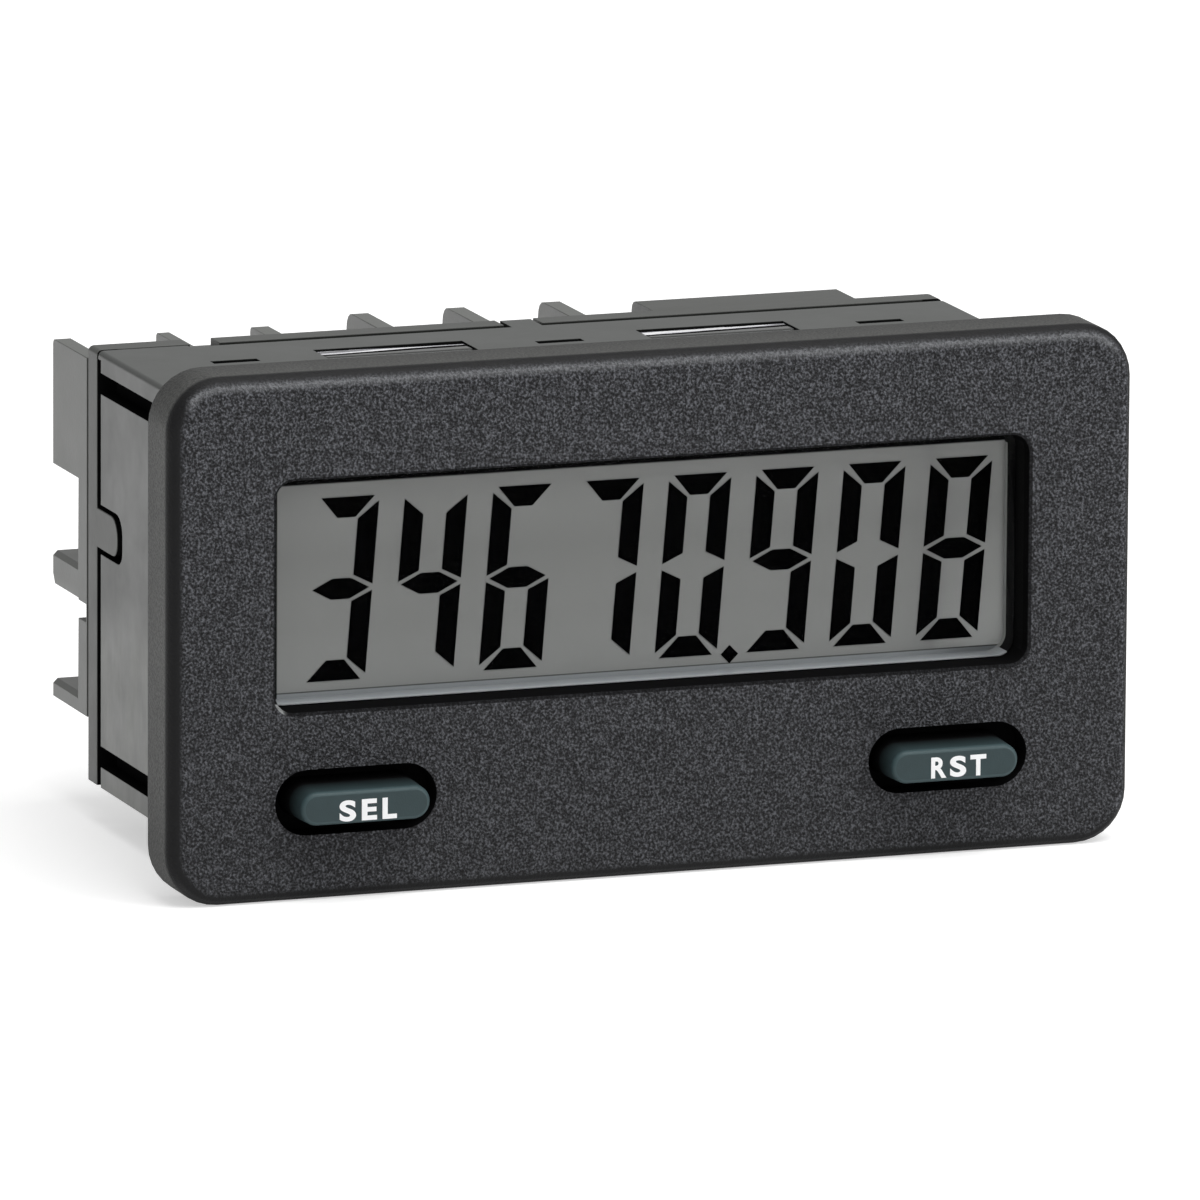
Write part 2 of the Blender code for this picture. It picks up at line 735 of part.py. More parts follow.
def keypad_mat():
    """The silicone mat behind both buttons, with a collar round each stem."""
    mat_back = board_front - seat_gap
    mat_front = mat_back - mat_thickness
    top = window_rise - glass_z - 4 * seat_gap - 0.8 * mm
    low = -cavity_z + slide_gap
    mat = box("keypad_mat", (-clear_x + slide_gap, clear_x - slide_gap), (mat_front, mat_back),
              (low, top), silicone)
    collar_front = front_wall + seat_gap + button_flange + button_travel + slide_gap
    inner_width = stem_width + 2 * slide_gap
    inner_height = stem_height + 2 * slide_gap
    for x in key_x.values():
        centre = (x, 0, -button_drop)
        width = inner_width + 2 * collar_wall
        height = inner_height + 2 * collar_wall
        join(mat, stadium_loft("key_collar", [(collar_front, width - 0.6 * mm, height - 0.6 * mm),
                                              (mat_front, width, height),
                                              (mat_back - 0.2 * mm, width, height)], None, centre))
        cut(mat, stadium_loft("key_bore", [(collar_front - 1 * mm, inner_width, inner_height),
                                           (mat_back + 1 * mm, inner_width, inner_height)], None, centre))
    return mat


# Rear cover
def post_centres():
    """The posts that hold the display board forward, clear of terminals and battery."""
    side = clear_x - slide_gap - post_width / 2 - 0.6 * mm
    low = cavity_z - slide_gap - post_width
    return [(-side, left_post_rise), (-side, -low), (side, low), (side, -low)]


def rear_cover():
    """Cover plate, battery housing, side tongues, posts and the bars that centre it in the case."""
    cover = flat("rear_cover", body_outline(), (cover_front, cover_back), 1, dark_plastic)
    left = battery_offset - hump_x
    right = battery_offset + hump_x
    join(cover, box("battery_hump", (left, right), (cover_front + 0.5 * mm, hump_back),
                    (-case_height / 2, case_height / 2), None, 0, hump_corner, 3))
    bar = cavity_z - slide_gap
    for z in mirrored(bar - spigot_wall, bar):
        join(cover, box("centring_bar", (-clear_x + slide_gap, clear_x - slide_gap),
                        (cover_front - spigot_reach, cover_front + 0.5 * mm), z))
    for x in mirrored(cavity_x, case_width / 2):
        join(cover, tongue_shape("latch_tongue", x, 0, 0))
    for x, z in post_centres():
        half = post_width / 2
        join(cover, box("board_post", (x - half, x + half), (board_back + seat_gap, cover_front + 0.5 * mm),
                        (z - half, z + half)))
    battery_z = battery_length / 2 + battery_nub + 3 * contact_sheet
    cut(cover, rod("battery_room", battery_clear, (-battery_z, battery_z),
                   (battery_offset, battery_centre, 0), 2, None, 32))
    inner = bay_height / 2
    reach = bay_width / 2
    depth = (cover_front - spigot_reach - 1 * mm, cover_back + 1 * mm)
    cut(cover, box("terminal_opening", (terminal_x[0] - reach, terminal_x[-1] + reach), depth,
                   (terminal_rise - inner, terminal_rise + inner)))
    cut(cover, box("side_opening", (first_terminal - reach, first_terminal + reach), depth,
                   (side_terminal_rise - inner, side_terminal_rise + inner)))
    rim = (cavity_z - slide_gap, case_height / 2 + 1 * mm)
    notch = key_width / 2 + key_gap
    cut(cover, box("key_notch", (-notch, notch), (cover_front - 1 * mm, cover_back + 1 * mm), rim))
    slot = rim_slot_width / 2
    cut(cover, box("rim_slot", (-rim_slot_offset - slot, -rim_slot_offset + slot),
                   (cover_front - 1 * mm, cover_back + 1 * mm), (rim[0] + 0.3 * mm, rim[1])))
    return cover


# Terminal block
def fin_outline(top, edge):
    """Side view of a barrier fin, with its upper back corner rounded."""
    points = [(block_front, top), (block_front, fin_bottom), (overall_depth, fin_bottom)]
    for step in range(5):
        angle = math.radians(90 * step / 4)
        points.append((overall_depth - edge + edge * math.cos(angle), top - edge + edge * math.sin(angle)))
    return points


def terminal_block():
    """The barrier block: an L-shaped base with fins between the terminals."""
    left = -case_width / 2
    right = terminal_x[-1] + (terminal_pitch + fin_thickness) / 2
    inner = left + shelf_length
    base = [(left, lower_shelf_bottom), (left, low_fin_top), (right, low_fin_top), (right, fin_bottom),
            (inner, fin_bottom), (inner, lower_shelf_bottom)]
    block = flat("terminal_block", base, (block_front, block_back), 1, dark_plastic)
    join(block, flat("corner_fin", fin_outline(low_fin_top, low_fin_edge),
                     (left, left + corner_fin_thickness), 0))
    for number, x in enumerate(terminal_x, start=1):
        middle = x + terminal_pitch / 2
        half = (first_fin_thickness if number == 1 else fin_thickness) / 2
        span = (middle - half, middle + half)
        if number <= low_fin_count:
            outline = fin_outline(low_fin_top, low_fin_edge)
        else:
            outline = fin_outline(high_fin_top, high_fin_edge)
        join(block, flat("barrier_fin", outline, span, 0))
    low = upper_shelf_top - upper_shelf_thickness
    draft = 0.15 * mm
    edge = 0.35 * mm
    shelf = [(left + draft, low), (left, low + upper_shelf_thickness / 3), (left, upper_shelf_top - edge),
             (left + edge, upper_shelf_top), (inner, upper_shelf_top), (inner, low)]
    for name, outline in (("upper_shelf", shelf), ("lower_shelf", shelf_outline(left, inner))):
        join(block, flat(name, outline, (block_front, overall_depth), 1))
    reach = bay_width / 2
    tall = bay_height / 2
    through = (block_front - 1 * mm, block_back + 0.5 * mm)
    for x, z in terminals:
        cut(block, box("terminal_bay", (x - reach, x + reach), through, (z - tall, z + tall)))
    cut(block, box("side_notch", (left - 1 * mm, first_terminal),
                   (block_front + 0.2 * mm, block_back + 0.5 * mm), (low - 1.4 * mm, low - 0.05 * mm)))
    return block


def shelf_outline(left, inner):
    """End view of the thin shelf under the side terminal."""
    top = lower_shelf_bottom + lower_shelf_thickness
    edge = 0.35 * mm
    return [(left, lower_shelf_bottom), (left, top - edge), (left + edge, top), (inner, top),
            (inner, lower_shelf_bottom)]


def terminal_hardware():
    """At each terminal a bent clamp on two tabs, a backed-out screw and its square washer."""
    tab_end = terminal_board_front - 0.25 * mm
    shoulder = terminal_board_back + seat_gap
    half = clamp_width / 2
    for number, (x, z) in enumerate(terminals, start=1):
        outline = [(x - half, tab_end), (x - half, clamp_face),
                   (x + half, clamp_face), (x + half, tab_end),
                   (x + half - clamp_sheet, tab_end), (x + half - clamp_sheet, clamp_face - clamp_sheet),
                   (x - half + clamp_sheet, clamp_face - clamp_sheet), (x - half + clamp_sheet, tab_end)]
        span = (z - clamp_height / 2, z + clamp_height / 2)
        clamp = flat("terminal_clamp_%d" % number, outline, span, 2, brass)
        for side in (-1, 1):
            near = z + side * clamp_tab / 2
            far = z + side * (clamp_height / 2 + 1 * mm)
            cut(clamp, box("tab_relief", (x - half - 1 * mm, x + half + 1 * mm),
                           (tab_end - 1 * mm, shoulder), (min(near, far), max(near, far))))
        bore = screw_radius + seat_gap
        cut(clamp, rod("clamp_bore", bore, (clamp_face - 2 * clamp_sheet, clamp_face + 1 * mm),
                       (x, 0, z), 1, None, 20))
        terminal_screw(number, x, z)
        washer_back = screw_head_back - screw_head_height - seat_gap
        washer = box("wire_washer_%d" % number, (x - washer_width / 2, x + washer_width / 2),
                     (washer_back - washer_thickness, washer_back),
                     (z - washer_height / 2, z + washer_height / 2), nickel, 1, 0.5 * mm, 2)
        cut(washer, rod("washer_bore", bore, (washer_back - 2 * washer_thickness, washer_back + 1 * mm),
                        (x, 0, z), 1, None, 20))


def terminal_screw(number, x, z):
    """A plated screw with a slightly crowned, cross-slotted head."""
    under = -screw_head_height
    profile = [(0, 0), (screw_head_radius * 0.6, -0.08 * mm), (screw_head_radius * 0.9, -0.3 * mm),
               (screw_head_radius, -0.65 * mm), (screw_head_radius, under), (screw_radius, under),
               (screw_radius, under - screw_length + 0.5 * mm), (screw_radius * 0.6, under - screw_length),
               (0, under - screw_length)]
    screw = turned("terminal_screw_%d" % number, profile, nickel, (x, screw_head_back, z),
                   (-math.pi / 2, 0, 0))
    depth = (screw_head_back - 0.8 * mm, screw_head_back + 1 * mm)
    half = screw_slot / 2
    long_cut = screw_head_radius + 1 * mm
    short_cut = 0.55 * screw_head_radius
    cut(screw, box("driver_slot", (x - long_cut, x + long_cut), depth, (z - half, z + half)),
        box("driver_cross", (x - half, x + half), depth, (z - short_cut, z + short_cut)))


# Battery
def battery():
    """A half-length lithium cell standing upright, positive end up."""
    half = battery_length / 2
    crimp = 0.3 * mm
    profile = [(0, half + battery_nub), (battery_nub_radius, half + battery_nub),
               (battery_nub_radius, half), (battery_radius - 1.0 * mm, half),
               (battery_radius, half - 0.8 * mm), (battery_radius, half - 2.2 * mm),
               (battery_radius - crimp, half - 2.6 * mm), (battery_radius, half - 3.0 * mm),
               (battery_radius, -half + 0.5 * mm), (battery_radius - 0.5 * mm, -half), (0, -half)]
    turned("battery", profile, cell_jacket, (battery_offset, battery_centre, 0), (0, 0, 0), 32)


def battery_contacts():
    """Spring strips from the display board, each with an eight-sided pad over an end of the battery."""
    tail = contact_width / 4
    wide = contact_width / 2
    start = board_back + seat_gap
    shoulder = battery_centre - wide
    end = battery_centre + wide
    x = battery_offset
    outline = [(x - tail, start), (x + tail, start), (x + tail, shoulder), (x + wide, shoulder + 1 * mm),
               (x + wide, end - 1 * mm), (x + wide - 1 * mm, end), (x - wide + 1 * mm, end),
               (x - wide, end - 1 * mm), (x - wide, shoulder + 1 * mm), (x - tail, shoulder)]
    top = battery_length / 2 + battery_nub + seat_gap
    flat("positive_contact", outline, (top, top + contact_sheet), 2, nickel)
    low = -battery_length / 2 - seat_gap
    flat("negative_contact", outline, (low - contact_sheet, low), 2, nickel)


case()
window_lens()
lcd_cell()
lcd_holder()
connector_strips()
display_board()
counting_chip()
timing_crystal()
reservoir_capacitor()
board_link()
terminal_board()
clear_insulator()
for name, place_x in key_x.items():
    push_button(name, place_x)
keypad_mat()
rear_cover()
terminal_block()
terminal_hardware()
battery()
battery_contacts()

for piece in counter.objects:
    piece.data.shade_smooth()
    piece.data.set_sharp_from_angle(angle=math.radians(35))
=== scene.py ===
# %% [markdown]
# # Panel counter: the looks
# A panel counter is a small instrument that clips into a 68 x 33 mm hole in a machine's panel. Its solids
# come from CAD and arrive as a fixed frame. This script gives every one of them its finish, adds what
# CAD leaves out, such as the display's digits and the words on the keys, and sets up a small studio.

# %% Load the frame
import math

import bmesh
import bpy
from mathutils import Matrix, Vector


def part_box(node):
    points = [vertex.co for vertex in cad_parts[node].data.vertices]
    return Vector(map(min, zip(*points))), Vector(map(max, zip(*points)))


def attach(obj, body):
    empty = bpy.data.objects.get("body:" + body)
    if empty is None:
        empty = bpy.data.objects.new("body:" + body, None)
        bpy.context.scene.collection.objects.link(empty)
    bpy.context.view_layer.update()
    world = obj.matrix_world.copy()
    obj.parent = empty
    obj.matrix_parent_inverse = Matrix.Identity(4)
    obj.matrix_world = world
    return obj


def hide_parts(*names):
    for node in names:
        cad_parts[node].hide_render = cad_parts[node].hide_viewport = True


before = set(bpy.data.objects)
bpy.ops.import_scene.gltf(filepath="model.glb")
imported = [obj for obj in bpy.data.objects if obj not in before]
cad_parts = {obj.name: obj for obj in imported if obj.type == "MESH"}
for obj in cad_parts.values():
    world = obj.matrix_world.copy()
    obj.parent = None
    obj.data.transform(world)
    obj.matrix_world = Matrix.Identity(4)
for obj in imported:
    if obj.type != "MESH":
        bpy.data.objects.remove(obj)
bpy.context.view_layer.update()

# %% [markdown]
# ## Places to measure from
# Everything is in metres, with the bezel towards -Y. A finish that changes over a piece, such as the
# grain that covers only the bezel's face, needs to know where that face is. It is read from the frame
# rather than typed in, so the looks follow the CAD if a size there changes. Only the places of the
# window, the key holes and the seam are typed, because no node's box gives them.

# %% Measure the frame
mm = 0.001
case_low, case_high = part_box("case")
lens_low, lens_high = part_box("window_lens")
glass_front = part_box("lcd_cell")[0].y
key_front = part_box("sel_button")[0].y
cover_low, cover_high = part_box("rear_cover")
bezel_face = case_low.y
bezel_back = bezel_face + 4.85 * mm
seam = bezel_face + 28 * mm
seam_end = cover_high.x - 1.6 * mm
middle_height = case_high.z / 2
window_left, window_right = -29.35 * mm, 29.35 * mm
window_bottom, window_top = middle_height - 5.525 * mm, middle_height + 11.725 * mm
key_height = middle_height - 12.25 * mm
key_inner, key_outer, key_half_height = 16.7 * mm, 29.5 * mm, 2.6 * mm
print("bezel face at y = %.2f mm, glass at y = %.2f mm" % (bezel_face / mm, glass_front / mm))

# %% [markdown]
# ## Putting pieces in the scene
# Blender keeps a shape apart from the object that shows it. Three short functions do what most pieces
# below need: show a shape as an object, turn a drawn form into a mesh, and keep what modifiers make.

# %% Helpers for pieces
def show(name, data):
    """A new object in the scene that shows a mesh, a lamp or a camera."""
    piece = bpy.data.objects.new(name, data)
    bpy.context.scene.collection.objects.link(piece)
    return piece


def finished_mesh(form, name, material):
    """A bmesh turned into a mesh of one material."""
    mesh = bpy.data.meshes.new(name)
    form.to_mesh(mesh)
    form.free()
    mesh.materials.append(material)
    return mesh


def evaluated_mesh(piece):
    """A new mesh of what an object's modifiers make."""
    return bpy.data.meshes.new_from_object(piece.evaluated_get(bpy.context.evaluated_depsgraph_get()))


# %% [markdown]
# ## The camera
# The photograph is nearly free of perspective: a long lens, about 1.3 m away, 20 degrees to the left
# and 12 degrees above. A camera can be aimed with a constraint, but a matrix built from its three axes
# also holds the slight roll of the photograph, so the matrix is written out here.

# %% Place the camera
photo_azimuth = math.radians(-19.960)
photo_elevation = math.radians(11.644)
photo_roll = math.radians(0.347)
photo_distance = 1.285135
photo_left, photo_up = 4.016 * mm, 1.055 * mm
photo_lens = 526.44


def photo_camera():
    """A camera at the photograph's viewing angle, for a square picture."""
    towards = Vector((math.sin(photo_azimuth) * math.cos(photo_elevation),
                      -math.cos(photo_azimuth) * math.cos(photo_elevation),
                      math.sin(photo_elevation)))
    level = Vector((math.cos(photo_azimuth), math.sin(photo_azimuth), 0))
    upright = towards.cross(level)
    right = level * math.cos(photo_roll) + upright * math.sin(photo_roll)
    up = upright * math.cos(photo_roll) - level * math.sin(photo_roll)
    centre = Vector((0, bezel_face, middle_height)) - photo_left * level + photo_up * upright
    eye = centre + towards * photo_distance
    data = bpy.data.cameras.new("photo_camera")
    data.lens = photo_lens
    data.sensor_width = 36
    camera = show("photo_camera", data)
    camera.matrix_world = Matrix(((right.x, up.x, towards.x, eye.x),
                                  (right.y, up.y, towards.y, eye.y),
                                  (right.z, up.z, towards.z, eye.z),
                                  (0, 0, 0, 1)))
    return camera


bpy.context.scene.camera = photo_camera()
print("camera at", [round(value, 3) for value in bpy.context.scene.camera.matrix_world.translation])

# %% [markdown]
# ## Writing node trees as sums
# Shader maths drawn as nodes is hard to read in a script. Here one small class stands for a socket, and
# ordinary + - * / < > and abs on it add the Math nodes. Every other node comes from one method that
# sets a node's own settings first, and then gives each socket a value or a link.

# %% Helpers for node trees
def math_operator(operation, reflected=False):
    """A method for one of Python's operators, which adds a Math node."""
    def combine(signal, other):
        return signal.maths(operation, *((other, signal) if reflected else (signal, other)))
    return combine


class Signal:
    """One output of a node. Arithmetic on it adds Math nodes to the same tree."""

    def __init__(self, tree, socket):
        self.tree = tree
        self.socket = socket

    def maths(self, operation, *values):
        return self.tree.node("ShaderNodeMath", {"operation": operation}, dict(enumerate(values)))

    __add__, __radd__ = math_operator("ADD"), math_operator("ADD", True)
    __sub__, __rsub__ = math_operator("SUBTRACT"), math_operator("SUBTRACT", True)
    __mul__, __rmul__ = math_operator("MULTIPLY"), math_operator("MULTIPLY", True)
    __truediv__ = math_operator("DIVIDE")
    __gt__, __lt__ = math_operator("GREATER_THAN"), math_operator("LESS_THAN")

    def __neg__(self):
        return 0.0 - self

    def __abs__(self):
        return self.maths("ABSOLUTE", self)

    def other(self, name):
        """Another output of the same node."""
        return Signal(self.tree, self.socket.node.outputs[name])


class Tree:
    """A node tree that is being built."""

    def __init__(self, tree):
        self.tree = tree

    def node(self, kind, settings=None, sockets=None, output=0):
        """Add a node: its settings first, then the values or links of its sockets."""
        item = self.tree.nodes.new(kind)
        for name, value in (settings or {}).items():
            if name == "stops":
                self.set_stops(item.color_ramp, value)
            else:
                setattr(item, name, value)
        for name, value in (sockets or {}).items():
            self.feed(item.inputs[name], value)
        if not item.outputs:
            return item
        return Signal(self, item.outputs[output])

    def feed(self, socket, value):
        """Give a socket a value, or link a signal to it. Colours have three numbers."""
        if isinstance(value, Signal):
            self.tree.links.new(value.socket, socket)
        else:
            socket.default_value = (*value, 1) if socket.type == "RGBA" else value

    def set_stops(self, ramp, stops):
        """A colour ramp's stops, each a place and a grey level or a colour."""
        while len(ramp.elements) > 1:
            ramp.elements.remove(ramp.elements[-1])
        for number, (place, shade) in enumerate(stops):
            element = ramp.elements[0] if number == 0 else ramp.elements.new(place)
            element.position = place
            element.color = (shade, shade, shade, 1) if isinstance(shade, float) else (*shade, 1)


# The black of painted shade, which blacken() mixes in where shade falls
painted_shade_black = (0.007, 0.007, 0.0073)


class Finish(Tree):
    """A material built on one Principled shader, with its pattern tied to the object's own space."""

    def __init__(self, name, **constants):
        self.material = bpy.data.materials.new(name)
        self.material.use_nodes = True
        super().__init__(self.material.node_tree)
        self.shader = self.tree.nodes["Principled BSDF"]
        self.place = self.node("ShaderNodeTexCoord", output="Object")
        self.set(**constants)

    def axes(self):
        """The X, Y and Z of the point being shaded, in metres."""
        x = self.node("ShaderNodeSeparateXYZ", {}, {"Vector": self.place})
        return x, x.other("Y"), x.other("Z")

    def noise(self, size, detail=2.0, roughness=0.5, stretch=(1, 1, 1)):
        """Soft random blotches of about the given size in metres, from 0 to 1."""
        scale = tuple(value / size for value in stretch)
        spot = self.node("ShaderNodeMapping", {}, {"Vector": self.place, "Scale": scale})
        return self.node("ShaderNodeTexNoise", {}, {"Vector": spot, "Scale": 1.0, "Detail": detail,
                                                    "Roughness": roughness})

    def ramp(self, factor, *stops):
        """A smooth curve from a number to a grey level or colour."""
        return self.node("ShaderNodeValToRGB", {"stops": stops}, {"Fac": factor})

    def mix(self, factor, first, second):
        """Blend two colours."""
        return self.node("ShaderNodeMix", {"data_type": "RGBA"}, {0: factor, 6: first, 7: second}, output=2)

    def times(self, colour, factor):
        """A colour made lighter or darker by a number."""
        return self.node("ShaderNodeVectorMath", {"operation": "SCALE"}, {0: colour, "Scale": factor})

    def between(self, value, start, end, low=0.0, high=1.0):
        """A number that goes from low to high as a value goes from start to end."""
        return self.node("ShaderNodeMapRange", {}, {"Value": value, "From Min": start, "From Max": end,
                                                    "To Min": low, "To Max": high})

    def length(self, first, second):
        """The length of a slope with two sides, each counted from 0 up."""
        first, second = (side.maths("MAXIMUM", side, 0.0) for side in (first, second))
        squares = first * first + second * second
        return squares.maths("SQRT", squares)

    def bump(self, height, depth):
        """Relief of the given depth in metres, fed to the shader's normal."""
        normal = self.node("ShaderNodeBump", {}, {"Strength": 1.0, "Distance": depth, "Height": height})
        self.set(Normal=normal)

    def blacken(self, mask):
        """Mix in painted shade, a black that mirrors nothing, where the mask is 1."""
        painted_shade_shader = self.node("ShaderNodeBsdfPrincipled", {}, {
            "Base Color": painted_shade_black, "Roughness": 1.0, "Specular IOR Level": 0.0})
        skin = Signal(self, self.shader.outputs["BSDF"])
        both = self.node("ShaderNodeMixShader", {}, {0: mask, 1: skin, 2: painted_shade_shader})
        self.feed(self.tree.nodes["Material Output"].inputs["Surface"], both)

    def set(self, **sockets):
        """Feed the Principled shader's sockets, with _ for a space in their names."""
        for name, value in sockets.items():
            self.feed(self.shader.inputs[name.replace("_", " ")], value)


def dress(material, *names):
    """Give CAD nodes a finish, in the slot that they already have."""
    for name in names:
        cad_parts[name].material_slots[0].material = material
        dressed.add(name)
    print(material.name, "on", ", ".join(names))


dressed = set()

# %% [markdown]
# ## Copies that shade smoothly
# A node from CAD is loose flat triangles, so its rolled edges show facets. Merged into one skin it can be
# shaded smooth, and every hard edge can get the fine bevel that a mould leaves and that catches the
# light. Subdivision would also round the edges, but it pulls flat faces out of shape. Last, the normals
# are weighted by the size of the faces, which keeps the flats flat beside a rounding.

# %% Smooth copies of nodes
merge_distance = 0.001 * mm
flat_angle, sharp_angle, bevel_angle = (math.radians(angle) for angle in (0.6, 40, 50))


def smooth_copy(node, name, edge, material, body="counter"):
    """A merged copy of a CAD node with softened edges, which stands for it."""
    form = bmesh.new()
    form.from_mesh(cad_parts[node].data)
    bmesh.ops.remove_doubles(form, verts=form.verts, dist=merge_distance)
    bmesh.ops.dissolve_limit(form, angle_limit=flat_angle, verts=form.verts, edges=form.edges)
    mesh = finished_mesh(form, name, material)
    for layer in [item for item in mesh.attributes if item.name == "custom_normal"]:
        mesh.attributes.remove(layer)
    mesh.shade_smooth()
    mesh.set_sharp_from_angle(angle=sharp_angle)
    piece = show(name, mesh)
    if edge:
        bevel = piece.modifiers.new("edges", "BEVEL")
        bevel.width = edge
        bevel.segments = 2
        bevel.angle_limit = bevel_angle
    weighted = piece.modifiers.new("normals", "WEIGHTED_NORMAL")
    weighted.keep_sharp = True
    smooth = evaluated_mesh(piece)
    piece.modifiers.clear()
    piece.data = smooth
    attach(piece, body)
    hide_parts(node)
    dressed.add(node)
    print("%s: %d faces from %s" % (name, len(smooth.polygons), node))


# %% [markdown]
# ## Moulded black plastic
# Bezel and case are one black moulding. Its mould was spark-eroded on the bezel's face, which gives a fine
# wormy grain, and left smooth on the walls, where the plastic looks grey because it mirrors the studio at a
# flat angle. One material does it all, with masks made from the place of each point: the grain ends on
# the bezel's rolled edge and the walls carry stains. Light and shade are painted in as well: black shade
# in the openings and the seam, shade on the rolled edge, a highlight along the top edge, a glint in the
# window's corner, and a reflection that is lighter low on the sides. The grain is a bump plus a change of
# shade, because at this size light alone would lose it.

# %% Finish of the case
grain_size, grain_depth = 0.185 * mm, 0.1 * mm


def grain(finish, size):
    """The height of a spark-eroded surface, from 0 in its pits to 1 on its ridges."""
    lumps = finish.noise(size, 2.0, 0.55)
    return finish.ramp(lumps, (0.34, 0.0), (0.68, 1.0))


def within(value, low, high):
    """1 where a value lies between two limits."""
    return (value > low) * (value < high)


def case_shadows(plastic, x, y, z):
    """1 on the faces that lie inside an opening, a groove or the seam, which are painted black as shade."""
    away = abs(x)
    rim, skin, rounding = 0.15 * mm, 0.04 * mm, 0.4 * mm
    in_bezel = within(y, bezel_face + 0.1 * mm, bezel_back - 0.05 * mm)
    opening = (within(x, window_left - rim, window_right + rim)
               * within(z, window_bottom - rim, window_top + rim)
               * (1 - 0.06 * (x > window_right - rim)))
    holes = (within(away, key_inner, key_outer)
             * within(z, key_height - key_half_height, key_height + key_half_height))
    behind = y > bezel_back + 0.05 * mm
    walls = behind * (away < cover_high.x - skin) * within(z, cover_low.z + skin, cover_high.z - skin)
    corner = plastic.length(away - (cover_high.x - rounding), z - (cover_high.z - rounding)) > 0.35 * mm
    top_seam = (y > seam - 0.1 * mm) * (z > cover_high.z - 0.9 * mm) * (away < seam_end)
    return in_bezel * (opening + holes) + walls * (1 - corner) * (1 - 0.5 * top_seam)


def rolled_edge(plastic, x, z):
    """How far a point lies inside the bezel's outline, and how near it is to each of its four sides."""
    radius, near, far = 4 * mm, 1.4 * mm, 2.6 * mm
    inset = radius - plastic.length(abs(x) - (case_high.x - radius),
                                    abs(z - middle_height) - (middle_height - radius))
    left = plastic.between(x, case_low.x + near, case_low.x + far, 1.0, 0.0)
    right = plastic.between(x, case_high.x - far, case_high.x - near)
    bottom = plastic.between(z, near, far, 1.0, 0.0)
    top = plastic.between(z, case_high.z - far, case_high.z - near)
    return inset, left, right, bottom, top


def window_lip(plastic, x, z):
    """1 on the fine rounding round the window's opening, a little wider below and at the right."""
    radius, lip, shift = 1.4 * mm, 0.2 * mm, 0.05 * mm
    half_high = (window_top - window_bottom) / 2
    across = abs(x - shift) - (window_right - radius)
    along = abs(z + shift - (window_bottom + half_high)) - (half_high - radius)
    return plastic.length(across, along) < radius + lip


